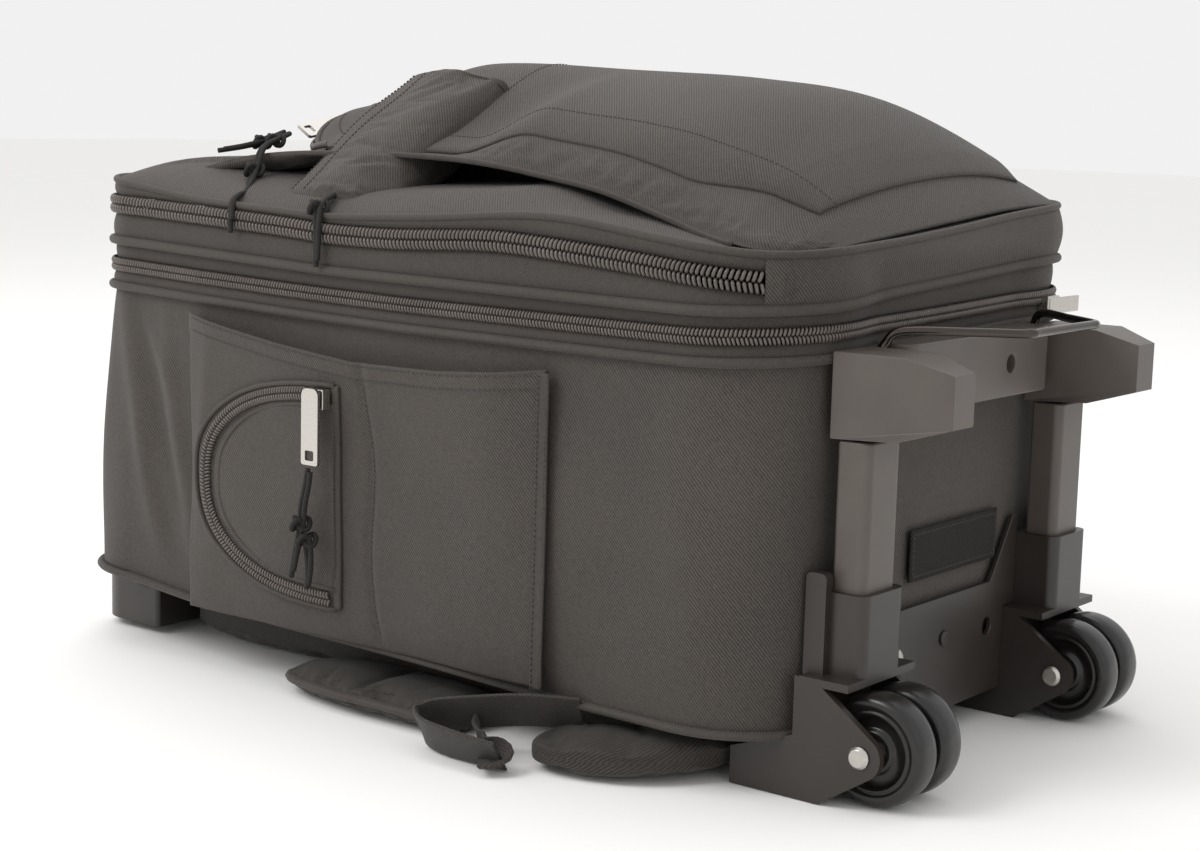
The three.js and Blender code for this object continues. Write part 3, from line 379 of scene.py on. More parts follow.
def soft_section(width, height, corner, per_corner=4):
    """A rectangle with round corners: quarter circles about four centres."""
    turn = np.linspace(0, np.pi / 2, per_corner)
    parts = []
    for k, (sx, sy) in enumerate([(1, 1), (-1, 1), (-1, -1), (1, -1)]):
        centre = np.array([sx * (width / 2 - corner), sy * (height / 2 - corner)])
        angle = turn + k * np.pi / 2
        parts.append(centre + corner * np.stack([np.cos(angle), np.sin(angle)], axis=1))
    return np.concatenate(parts)


def copies(name, forward, side, up, origins, unit_points, unit_faces):
    """The same small closed solid at many places: unit_points (n, 3) are shares of the three
    directions at each place."""
    p = unit_points
    placed = (
        origins[:, None]
        + p[None, :, 0, None] * forward[:, None]
        + p[None, :, 1, None] * side[:, None]
        + p[None, :, 2, None] * up[:, None]
    )
    count = len(unit_points)
    shift = (np.arange(len(origins)) * count).tolist()
    faces = [[v + n for v in face] for n in shift for face in unit_faces]
    piece = mesh_of(name, placed.reshape(-1, 3), faces)
    return turn_outward(piece)


def small_tube(centres, radii, sides, side_axis):
    """Points and faces of a short closed tube through centres, for copies()."""
    c = np.asarray(centres, float)
    tangent, across, up = directions(c, side_axis)
    ring = round_section(1.0, sides)
    radii = np.asarray(radii, float)
    points = c[:, None] + radii[:, None, None] * (
        ring[None, :, 0, None] * across[:, None] + ring[None, :, 1, None] * up[:, None]
    )
    rows = len(c)
    faces = [
        [r * sides + k, r * sides + (k + 1) % sides, (r + 1) * sides + (k + 1) % sides, (r + 1) * sides + k]
        for r in range(rows - 1)
        for k in range(sides)
    ]
    faces.append(list(range(sides)))
    faces.append(list(range((rows - 1) * sides, rows * sides))[::-1])
    return points.reshape(-1, 3), faces


def solidify(piece, thickness):
    """Gives a sheet its thickness in millimetres, inward from its faces."""
    modifier = piece.modifiers.new("Thickness", "SOLIDIFY")
    modifier.thickness = thickness * MM
    modifier.offset = -1.0
    modifier.use_quality_normals = True


def smooth(piece):
    """One level of subdivision surface, the same in view and render."""
    modifier = piece.modifiers.new("Smooth", "SUBSURF")
    modifier.levels = 1
    modifier.render_levels = 1


def clad(piece, look, replaces=()):
    """Gives a piece its finish and the CAD nodes that it stands for."""
    piece.data.materials.clear()
    piece.data.materials.append(finish(look))
    if replaces:
        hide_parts(*replaces)


def finished(piece, body, look, replaces=()):
    """Clads a piece and lets it ride on its body."""
    clad(piece, look, replaces)
    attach(piece, body)
    return piece


def refined(node, kind, look, width, segments=3):
    """A copy of a CAD node with its triangles merged, its flat faces made whole and its sharp edges
    rounded by a bevel, standing for that node on the same body. Its slot is named as its finish."""
    source = frame["nodes"][node]
    mesh = source.data.copy()
    shell = bmesh.new()
    shell.from_mesh(mesh)
    bmesh.ops.remove_doubles(shell, verts=shell.verts, dist=2e-6)
    bmesh.ops.dissolve_limit(shell, angle_limit=FLAT_ANGLE, verts=shell.verts, edges=shell.edges)
    shell.to_mesh(mesh)
    shell.free()
    piece = bpy.data.objects.new(f"{node}_{kind}", mesh)
    bpy.context.scene.collection.objects.link(piece)
    mesh.shade_smooth()
    bevel = piece.modifiers.new("Edges", "BEVEL")
    bevel.width = width * MM
    bevel.segments = segments
    bevel.limit_method = "ANGLE"
    bevel.angle_limit = SHARP_ANGLE
    flat = piece.modifiers.new("Faces", "WEIGHTED_NORMAL")
    flat.keep_sharp = True
    finished(piece, source["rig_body"], look, (node,))


# ---- Materials ----------------------------------------------------------------------------------


def linear(colour):
    """An sRGB hex colour as linear red, green and blue."""
    value = np.array([int(colour[k : k + 2], 16) for k in (0, 2, 4)]) / 255
    return tuple(np.where(value <= 0.04045, value / 12.92, ((value + 0.055) / 1.055) ** 2.4))


def connect(tree, node, inputs):
    """Gives each input of a node, by name or number, a value or another node's output."""
    for key, value in inputs.items():
        if isinstance(value, bpy.types.NodeSocket):
            tree.links.new(value, node.inputs[key])
        else:
            node.inputs[key].default_value = value


def add(tree, kind, inputs=(), output=0, **settings):
    """Adds a node of that kind with its settings and inputs, and returns one of its outputs. The inputs
    are a list in the node's own order, or named."""
    node = tree.nodes.new(f"ShaderNode{kind}")
    for key, value in settings.items():
        setattr(node, key, value)
    connect(tree, node, inputs if isinstance(inputs, dict) else dict(enumerate(inputs)))
    return node.outputs[output]


def blank(name):
    """A new material with its node tree, its shader and its Object coordinates."""
    material = bpy.data.materials.new(name)
    material.use_nodes = True
    tree = material.node_tree
    shader = next(n for n in tree.nodes if n.type == "BSDF_PRINCIPLED")
    return material, tree, shader, add(tree, "TexCoord", output="Object")


def noises(tree, place, *scales):
    """Soft noise from 0 to 1 at each of some (scale, detail) pairs, in patches of 1 / scale metres."""
    return [add(tree, "TexNoise", {"Vector": place, "Scale": s, "Detail": d}) for s, d in scales]


def total(tree, *terms):
    """The weighted sum of (value, weight) terms, added up one by one."""
    value = 0.0
    for term, weight in terms:
        value = add(tree, "Math", [term, weight, value], operation="MULTIPLY_ADD")
    return value


def waves(tree, value, period):
    """A sine of a length in metres, from 0 to 1, once every period in millimetres."""
    turned = add(tree, "Math", [value, 2 * np.pi / (period * MM)], operation="MULTIPLY")
    sine = add(tree, "Math", [turned], operation="SINE")
    return add(tree, "Math", [sine, 0.5, 0.5], operation="MULTIPLY_ADD")


def skin(tree, shader, tone, colour, shares, stops, relief, inputs):
    """Finishes a shader. Its colour goes from one share of a linear colour to another as tone passes
    two stops. Relief is a height, the strength of its bump and its depth in millimetres."""
    ramp = add(tree, "ValToRGB", [tone])
    for element, share, stop in zip(ramp.node.color_ramp.elements, shares, stops):
        element.position = stop
        element.color = (*np.clip(np.array(colour) * share, 0, 1), 1)
    inputs = {"Base Color": ramp, **inputs}
    if relief:
        height, strength, depth = relief
        bump = {"Strength": strength, "Distance": depth * MM, "Height": height}
        inputs["Normal"] = add(tree, "Bump", bump)
    connect(tree, shader, inputs)


def thread_plane(tree):
    """The distances across and along a piece's cloth in metres, from its UV map."""
    return add(tree, "SeparateXYZ", [add(tree, "UVMap", uv_map="cloth")]).node.outputs[:2]


def cloth(name, colour, pattern="twill", thread=1.8, roughness=0.7, depth=0.3, sheen=0.1):
    """Woven polyester: a matt cloth whose threads show as slanted ridges (twill) or as arrows along a
    tape (herringbone), with a fleck in the yarn and painted sheen in soft lighter and darker patches.
    The real threads are about 0.5 mm apart, drawn coarser here so that they show."""
    material, tree, shader, place = blank(name)
    u, across = thread_plane(tree)
    # The third noise, fade, is painted sheen: soft patches about a tenth of a metre wide, drawn lighter and
    # darker in the colour.
    wander, fleck, fade = noises(tree, place, (900.0, 2.0), (520.0, 3.0), (9.0, 3.0))
    lean, steep = 0.8, 2.2
    if pattern == "herringbone":
        lifted = add(tree, "Math", [across, 1.0], operation="ADD")
        across = add(tree, "Math", [lifted, HERRINGBONE_ROW * MM], operation="PINGPONG")
        lean, steep = 1.0, 2.5
    jitter = (wander, 0.45 * thread * MM)
    ridge = waves(tree, total(tree, (u, 1.0), (across, lean), jitter), thread)
    threads = waves(tree, total(tree, (u, 1.0), (across, -steep), jitter), thread * 0.8)
    weave = total(tree, (ridge, 0.65), (threads, 0.35))
    # The tone mixes the weave, the fleck in the yarn and the painted sheen patches (fade).
    tone = total(tree, (weave, 0.62), (fleck, 0.3), (fade, 0.25))
    relief = (total(tree, (weave, 1.0), (fleck, 0.6)), 0.7, depth)
    skin(tree, shader, tone, linear(colour), (0.3, 1.6), (0.3, 0.86), relief, {
        "Roughness": roughness, "Specular IOR Level": 0.3, "Sheen Weight": sheen, "Sheen Roughness": 0.45,
    })
    return material


def moulded(name, colour, roughness=0.42, grain=0.5, depth=0.05):
    """Moulded plastic: a satin skin with a fine spark-eroded grain, a little uneven in gloss."""
    material, tree, shader, place = blank(name)
    fine, broad = noises(tree, place, (1 / (grain * MM), 2.0), (28.0, 4.0))
    gloss = add(tree, "MapRange", {"Value": broad, "To Min": roughness - 0.06, "To Max": roughness + 0.12})
    skin(
        tree, shader, broad, linear(colour), (0.86, 1.14), (0.3, 0.7), (fine, 0.5, depth),
        {"Roughness": gloss},
    )
    return material


def metal(name, colour, roughness):
    """Plated or anodised metal: bright, with fine wear that breaks up its gloss."""
    material, tree, shader, place = blank(name)
    wear, = noises(tree, place, (600.0, 4.0))
    gloss = add(tree, "MapRange", {"Value": wear, "To Min": roughness * 0.7, "To Max": roughness * 1.5})
    skin(
        tree, shader, wear, linear(colour), (0.85, 1.1), (0.0, 1.0), (wear, 0.3, 0.04),
        {"Roughness": gloss, "Metallic": 1.0},
    )
    return material


def braid(name, colour):
    """Braided cord: two families of strands that cross round it, as slanted ridges on its UVs."""
    material, tree, shader, _ = blank(name)
    u, v = thread_plane(tree)
    strands = [waves(tree, total(tree, (u, 1.0), (v, way)), BRAID_PITCH) for way in (1.0, -1.0)]
    height = add(tree, "Math", strands, operation="MAXIMUM")
    skin(
        tree, shader, height, linear(colour), (0.25, 1.5), (0.35, 1.0), (height, 0.8, 0.4),
        {"Roughness": 0.8},
    )
    return material


HERRINGBONE_ROW = 4.6
BRAID_PITCH = 1.6
FINISHES = {
    "twill": (cloth, "Polyester twill", "45403c", {}),
    "twill_dark": (cloth, "Polyester twill, base and back", "37332f", {"thread": 1.9}),
    "herringbone": (cloth, "Herringbone zip tape", "403b37", {"pattern": "herringbone", "thread": 1.5}),
    "binding": (cloth, "Piped binding", "433e3a", {"thread": 1.3, "depth": 0.15}),
    "webbing": (cloth, "Ribbed strap webbing", "3a3633", {"pattern": "herringbone", "thread": 2.0}),
    "hook": (cloth, "Hook tape", "2a2725", {"thread": 1.9, "roughness": 0.9, "depth": 0.6, "sheen": 0.0}),
    "coil": (moulded, "Nylon coil", "5a534e", {"roughness": 0.26, "grain": 0.4}),
    "thread": (moulded, "Sewing thread", "3a3532", {"roughness": 0.6, "grain": 0.3}),
    "plastic": (moulded, "Grained ABS", "524b46", {"roughness": 0.38}),
    "dark_plastic": (moulded, "Dark glass-filled nylon", "2e2926", {"roughness": 0.34}),
    "board": (moulded, "Polyethylene board", "2c2927", {"roughness": 0.6}),
    "tyre": (moulded, "Polyurethane tyre", "1d1b1a", {"roughness": 0.24, "grain": 0.9, "depth": 0.015}),
    "nickel": (metal, "Nickel plate", "c2beb8", {"roughness": 0.26}),
    "steel": (metal, "Zinc-plated steel", "c4c0ba", {"roughness": 0.33}),
    "wire": (metal, "Black chrome wire", "4e4945", {"roughness": 0.16}),
    "aluminium": (metal, "Anodised aluminium", "a5a5a8", {"roughness": 0.35}),
    "cord": (braid, "Braided cord", "1d1b1a", {}),
}
MADE = {}


def finish(look):
    """The material of that look, made when it is first asked for."""
    if look not in MADE:
        maker, name, colour, settings = FINISHES[look]
        MADE[look] = maker(name, colour, **settings)
    return MADE[look]


# ---- Stitches, piping and zips ------------------------------------------------------------------

STITCH_PITCH, STITCH_LENGTH, STITCH_LIFT = 3.0, 2.1, 0.15
TAPE_THICKNESS = 1.2
SHELL_WELT_DROP = 12.5  # from the expansion zip's middle down to the welt below it


def stitches(name, path, outward, body):
    """A row of sewn stitches: small capsules along a path, one every pitch."""
    run = distances(path)
    count = max(2, int(run[-1] / (STITCH_PITCH * MM)))
    places = (np.arange(count) + 0.5) * run[-1] / count
    tangent = read(places, run, unit(np.gradient(path, axis=0)))
    out = read(places, run, np.broadcast_to(np.asarray(outward, float), path.shape))
    half = STITCH_LENGTH / 2 * MM
    points, faces = small_tube(
        [(-half, 0, 0), (-half * 0.6, 0, 0), (half * 0.6, 0, 0), (half, 0, 0)],
        np.array([0.1, 0.36, 0.36, 0.1]) * MM, 5, (0, 1, 0),
    )
    origins = read(places, run, path) + out * STITCH_LIFT * MM
    piece = copies(name, unit(tangent), unit(np.cross(out, tangent)), unit(out), origins, points, faces)
    return finished(piece, body, "thread")


def goes_round(s):
    """Whether places reach all the way round the case."""
    return s[-1] - s[0] > AROUND - 20


def band(name, s, lower, upper, out, bulge, body, replaces):
    """A strip of zip tape round the case between two heights, swelling by bulge at its middle."""
    t = np.linspace(0, 1, 8)[:, None]
    z = lower(s)[None] * (1 - t) + upper(s)[None] * t
    points = wall_point(np.broadcast_to(s, z.shape), z, out + bulge * np.sin(np.pi * t))
    piece = surface(name, points, wrap_columns=goes_round(s), away=("from", CENTRE))
    solidify(piece, TAPE_THICKNESS)
    return finished(piece, body, "herringbone", replaces)


def welt(name, s, height, out, radius, body):
    """A piped cord of binding round the case at a height."""
    path = wall_point(s, height(s), out)
    piece = sweep(name, path, (0, 0, 1), round_section(radius * MM, 10), goes_round(s))
    return finished(piece, body, "binding")


def coil(name, path, across, out, half, pitch, body, row):
    """One row of a coil zip, row -1 below or 1 above. Each turn of the coil is an arch that runs from
    the middle of the zip to the edge of its row, rises as half a sine and leans along the zip; the
    turns of the upper row stand between those of the lower."""
    run = distances(path)
    count = int(run[-1] / (pitch * MM))
    t = np.array([0.0, 0.06, 0.22, 0.5, 0.78, 0.94, 1.0])
    radius = 0.36 * pitch * np.array([0.4, 0.95, 1.1, 1.0, 1.0, 0.85, 0.3])
    places = (np.arange(count) + (0.25 if row > 0 else 0.75)) * pitch * MM
    origins, *ways = [
        read(places, run, np.broadcast_to(v, path.shape))
        for v in (path, unit(np.gradient(path, axis=0)), across, out)
    ]
    centres = np.stack([
        0.55 * pitch * (t - 0.5),
        row * half * (0.05 + 0.9 * t),
        0.2 * half + 0.28 * half * np.sin(np.pi * np.clip(t * 1.05, 0, 1)) ** 0.7,
    ], axis=1) * MM
    points, faces = small_tube(centres, radius * MM, 6, (1, 0, 0))
    piece = copies(name, *[unit(way) for way in ways], origins, points, faces)
    return finished(piece, body, "coil")


def coils(name, path, across, out, half, pitch, bodies):
    """Both rows of a coil zip: the lower rides on the first body and the upper on the second."""
    for row, word, body in ((-1, "lower", bodies[0]), (1, "upper", bodies[1])):
        coil(f"{name}_coil_{word}", path, across, out, half, pitch, body, row)


def zip_round(name, s, height, out, half, pitch, bodies):
    """A coil zip round the case at a height."""
    path = wall_point(s, height(s), out)
    nx, ny = outline(s)[2:]
    outward = np.stack([nx, ny, np.zeros_like(nx)], axis=1)
    up = unit(np.cross(outward, unit(np.gradient(path, axis=0))))
    coils(name, path, up * np.sign(up[:, 2:3]), outward, half, pitch, bodies)


# ---- The case -----------------------------------------------------------------------------------

PLACES = np.linspace(0, AROUND, 521)[:-1]
FLOOR_Z = 31.0


def offset_level(height, by):
    """A level raised by some millimetres."""
    return lambda s: height(s) + by


def crease(s, z, start, end, width):
    """1 along a straight line between two (place, height) points, fading to 0 over its width."""
    a, b = np.array(start, float), np.array(end, float)
    run = b - a
    t = np.clip(((s - a[0]) * run[0] + (z - a[1]) * run[1]) / (run @ run), 0, 1)
    gap = np.hypot(s - a[0] - t * run[0], z - a[1] - t * run[1])
    return np.exp(-((gap / width) ** 2)) * np.sin(np.pi * np.clip(0.12 + 0.76 * t, 0, 1))


def folds(s, z):
    """Soft creases in the side wall, in millimetres outward: tall ones fan down from the handle end's
    near corner, shallow ones cross the side, and a slow ripple keeps the rest from lying flat."""
    x = s - NEAR_SIDE
    made = 3.6 * crease(x, z, (-506, 226), (-470, 60), 8) - 3.0 * crease(x, z, (-494, 222), (-452, 90), 7)
    made += 2.6 * crease(x, z, (-520, 215), (-528, 60), 9) + 2.4 * crease(x, z, (-484, 200), (-446, 150), 6)
    made += 3.0 * crease(x, z, (-468, 214), (-440, 60), 7) - 1.6 * crease(x, z, (-480, 120), (-450, 55), 8)
    made += 1.5 * crease(x, z, (-100, 205), (-78, 60), 16) - 1.2 * crease(x, z, (-150, 200), (-120, 70), 18)
    made += 1.3 * np.sin(s / 37 + z / 60) * np.sin(z / 41 + 1.0) + 0.6 * np.sin(s / 17 - z / 30)
    return made


class BAG_OT_case(bpy.types.Operator):
    """Builds the side wall, the floor, the base panel and the folded gusset"""

    bl_idname = "flight_bag.case"
    bl_label = "Case"

    def execute(self, context):
        rows = np.linspace(0, 1, 56)[:, None]
        low, high = SEAM_Z(PLACES)[None], EXPANSION_Z(PLACES)[None] - 11
        z = low * (1 - rows) + high * rows
        s = np.broadcast_to(PLACES, z.shape)
        fade = np.sin(np.pi * np.clip(rows, 0, 1)) ** 0.5
        calm = 1 - 0.8 * step((s - STOPS[4] + 30) / 30) * step((STOPS[5] + 30 - s) / 30)
        wall = surface(
            "case_wall", wall_point(s, z, -1.2 + folds(s, z) * fade * calm),
            wrap_columns=True, away=("from", CENTRE),
        )
        solidify(wall, 3)
        finished(wall, "case", "twill", ("lower_shell",))

        shares = np.linspace(1, 0, 14)[:, None]
        x, y, _, _ = outline(PLACES)
        spine = np.clip(x, -440, -120)
        sunk = SEAM_Z(PLACES)[None] * shares + FLOOR_Z * (1 - shares)
        floor = at(spine + (x - spine) * shares, y * shares, sunk)
        panel = surface("floor_panel", floor, wrap_columns=True, away=(0, 0, -1), plane=(0, 1))
        solidify(panel, 2.5)
        finished(panel, "case", "twill_dark")
        board = frame["nodes"]["frame_board"].data
        board.materials.clear()
        board.materials.append(finish("board"))

        welt("seam_welt", PLACES, SEAM_Z, 0.6, 2.3, "case")
        inner = np.linspace(0, 1, 12)[:, None]
        tall = (EXPANSION_Z(PLACES) - 26)[None] * (1 - inner) + (EXPANSION_Z(PLACES) + 10)[None] * inner
        points = wall_point(np.broadcast_to(PLACES, tall.shape), tall, -6.0 - 2 * np.sin(np.pi * inner))
        pleats = surface("gusset_cloth", points, wrap_columns=True, away=("from", CENTRE))
        clad(pleats, "twill_dark", ("gusset",))
        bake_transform(pleats)
        return {"FINISHED"}


class BAG_OT_zips(bpy.types.Operator):
    """Builds the expansion zip, the rim band and the main zip round the case"""

    bl_idname = "flight_bag.zips"
    bl_label = "Zips and rim"

    def execute(self, context):
        sizes = context.scene.flight_bag
        small, large = sizes.expansion_half / MM, sizes.main_half / MM
        expansion_pitch, main_pitch = sizes.expansion_pitch / MM, sizes.main_pitch / MM
        low, high = offset_level(EXPANSION_Z, 0.4 - small), offset_level(EXPANSION_Z, small - 0.4)
        welt("shell_welt", PLACES, offset_level(EXPANSION_Z, -SHELL_WELT_DROP), 1.6, 2.5, "case")
        band(
            "expansion_tape_lower", PLACES, offset_level(EXPANSION_Z, 0.5 - SHELL_WELT_DROP), low, 0.2, 1.2,
            "case", ("expansion_zip_lower",),
        )
        fine = np.linspace(0, AROUND, 2201)
        zip_round("expansion", fine, EXPANSION_Z, 1.2, small, expansion_pitch, ("case", "rim"))
        band("expansion_tape_upper", PLACES, high, RIM_Z, 0.2, 1.0, "rim", ("expansion_zip_upper",))
        welt("rim_welt", PLACES, RIM_Z, 3.0, 2.7, "rim")

        zipped = np.concatenate([
            np.linspace(ZIP_BACK, AROUND, 330)[:-1], np.linspace(AROUND, AROUND + ZIP_END, 400)
        ])
        coarse = zipped[::2]
        low, high = offset_level(MAIN_Z, 0.4 - large), offset_level(MAIN_Z, large - 0.4)
        band("main_tape_lower", coarse, RIM_Z, low, 1.6, 1.6, "rim", ("rim_band", "main_zip_lower"))
        long = np.linspace(ZIP_BACK + 6, AROUND + ZIP_END - 6, 2600)
        zip_round("main", long, MAIN_Z, 2.4, large, main_pitch, ("rim", "lid"))
        band("main_tape_upper", coarse, high, LID_Z, 1.6, 1.4, "lid", ("main_zip_upper",))
        plain = np.linspace(ZIP_END - 7, ZIP_BACK + 7, 150)
        rows = np.linspace(0, 1, 10)[:, None]
        z = RIM_Z(plain)[None] * (1 - rows) + LID_Z(plain)[None] * rows
        out = 2.2 + 2.6 * np.sin(np.pi * rows) * (1 + 0.3 * np.sin(plain / 23)[None])
        points = wall_point(np.broadcast_to(plain, z.shape), z, out)
        hinge = surface("hinge_panel", points, away=("from", CENTRE))
        solidify(hinge, 1.6)
        clad(hinge, "twill")
        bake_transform(hinge)
        for name, s, way in (("near", ZIP_END, 1), ("far", ZIP_BACK, -1)):
            heights = np.linspace(RIM_Z(s) + 4, LID_Z(s) - 4, 12)
            for k, inset in enumerate((2.5, 6.0)):
                seam = wall_point(np.full(12, s + way * inset), heights, 5.9)
                stitches(f"zip_stop_stitches_{name}_{k}", seam, (*outline(s)[2:], 0), "rim")
        return {"FINISHED"}


# ---- The lid ------------------------------------------------------------------------------------

ARCH = through([
    (-531, -126, 281), (-524, -140, 280), (-508, -139, 281), (-480, -126, 288), (-445, -117, 297),
    (-400, -113, 302), (-340, -111, 303.5), (-280, -111, 302.5), (-230, -113, 298), (-180, -118, 289),
    (-130, -127, 277), (-95, -140, 270), (-70, -147, 267), (-52, -140, 266), (-38, -105, 268),
], 260)


def arch(x):
    """y and z of the loose panel's near edge at x: the arch, lifted a little towards the wheels so that
    it lies over the piping."""
    order = np.argsort(ARCH[:, 0])
    y, z = [np.interp(x, ARCH[order, 0], ARCH[order, k]) for k in (1, 2)]
    return np.maximum(y, 3 - far_edge(x)), z + 2.0 * step((x + 230) / 60)


def far_piping(x):
    """Height of the far side's piping at x."""
    return LID_Z(FAR_SIDE - np.clip(x, -500, -90)) + 0.5


def far_edge(x):
    """y of the case's far side at x, inside its rounded corners."""
    top = np.clip(TOP_X + TOP_CORNER - x, 0, TOP_CORNER)
    end = np.clip(x - BASE_X + BASE_CORNER, 0, BASE_CORNER)
    drop = TOP_CORNER - np.sqrt(TOP_CORNER**2 - top**2) + BASE_CORNER - np.sqrt(BASE_CORNER**2 - end**2)
    return HALF_WIDTH - drop


def piping_z(x, y):
    """Height of the lid's piping at the place round the case nearest to a point."""
    s = np.linspace(0, AROUND, 900)
    ox, oy, _, _ = outline(s)
    shape = np.broadcast(x, y).shape
    px, py = np.broadcast_arrays(x, y)
    gap = (px.ravel()[:, None] - ox) ** 2 + (py.ravel()[:, None] - oy) ** 2
    return LID_Z(s[gap.argmin(axis=1)]).reshape(shape)


def lid_grid(near_y, near_z, x, rows):
    """x, y, share across and edge height on a grid: columns at x, rows at shares of the way from the
    near edge to the far one. The edge height is the near edge's and the far piping's, mixed across."""
    v = rows[:, None] if rows.ndim == 1 else rows
    y = near_y[None] * (1 - v) + far_edge(x)[None] * v
    z = near_z[None] * (1 - v) + far_piping(x)[None] * v
    return np.broadcast_to(x, y.shape), y, np.broadcast_to(v, y.shape), z


CREST = 58.0
HANDLE_X = -352.0
POCKET_START = -440.0
CROSS_SEAM_X = -318.0


def full_height(x, v, edge_z):
    """The stuffed front of the bag: the edge height plus a pillow that swells from both ends and
    from the near and far edges."""
    ends = swell((x - TOP_X) / 190) * swell((BASE_X - x) / 122)
    across = np.clip(4 * v * (1 - v), 0, 1) ** 0.72
    pressed = (1 - step((np.abs(x - HANDLE_X) - 52) / 60)) * (v < 0.5)
    across = across * (1 - pressed) + step(2 * v) * pressed
    edge_z = edge_z - 12 * (1 - step((x + 445) / 80)) * step((x - TOP_X) / 60) * across
    dip = 3.0 * hump(x, -250, 60) * hump(v, 0.25, 0.2)
    ripple = 0.9 * np.sin(x / 26 + 5 * v) * hump(v, 0.35, 0.3)
    return edge_z + CREST * ends * across - dip * ends + ripple * ends


def slip_height(x, v, edge_z):
    """The loose panel: lower than the stuffed front left of the pocket's end."""
    left = step((x - TOP_X) / 70) * (1 - step((x + 440) / 55))
    return full_height(x, v, edge_z) - 25 * left * np.clip(4 * v * (1 - v), 0, 1) ** 0.4


def held_level(z, edge_z, hold):
    """An edge height drawn towards the piping's as hold goes from 0 to 1."""
    return z * (1 - hold) + (edge_z + 1) * hold


def grid_pins(shape, rows=(0, 0), columns=(0, 0), more_columns=()):
    """Which vertices of a grid hold still: some rows and columns at its start and end, and more."""
    count_down, count_across = shape
    pins = np.zeros(shape, bool)
    pins[: rows[0]] = pins[count_down - rows[1]:] = True
    pins[:, : columns[0]] = pins[:, count_across - columns[1]:] = True
    pins[:, list(more_columns)] = True
    return pins


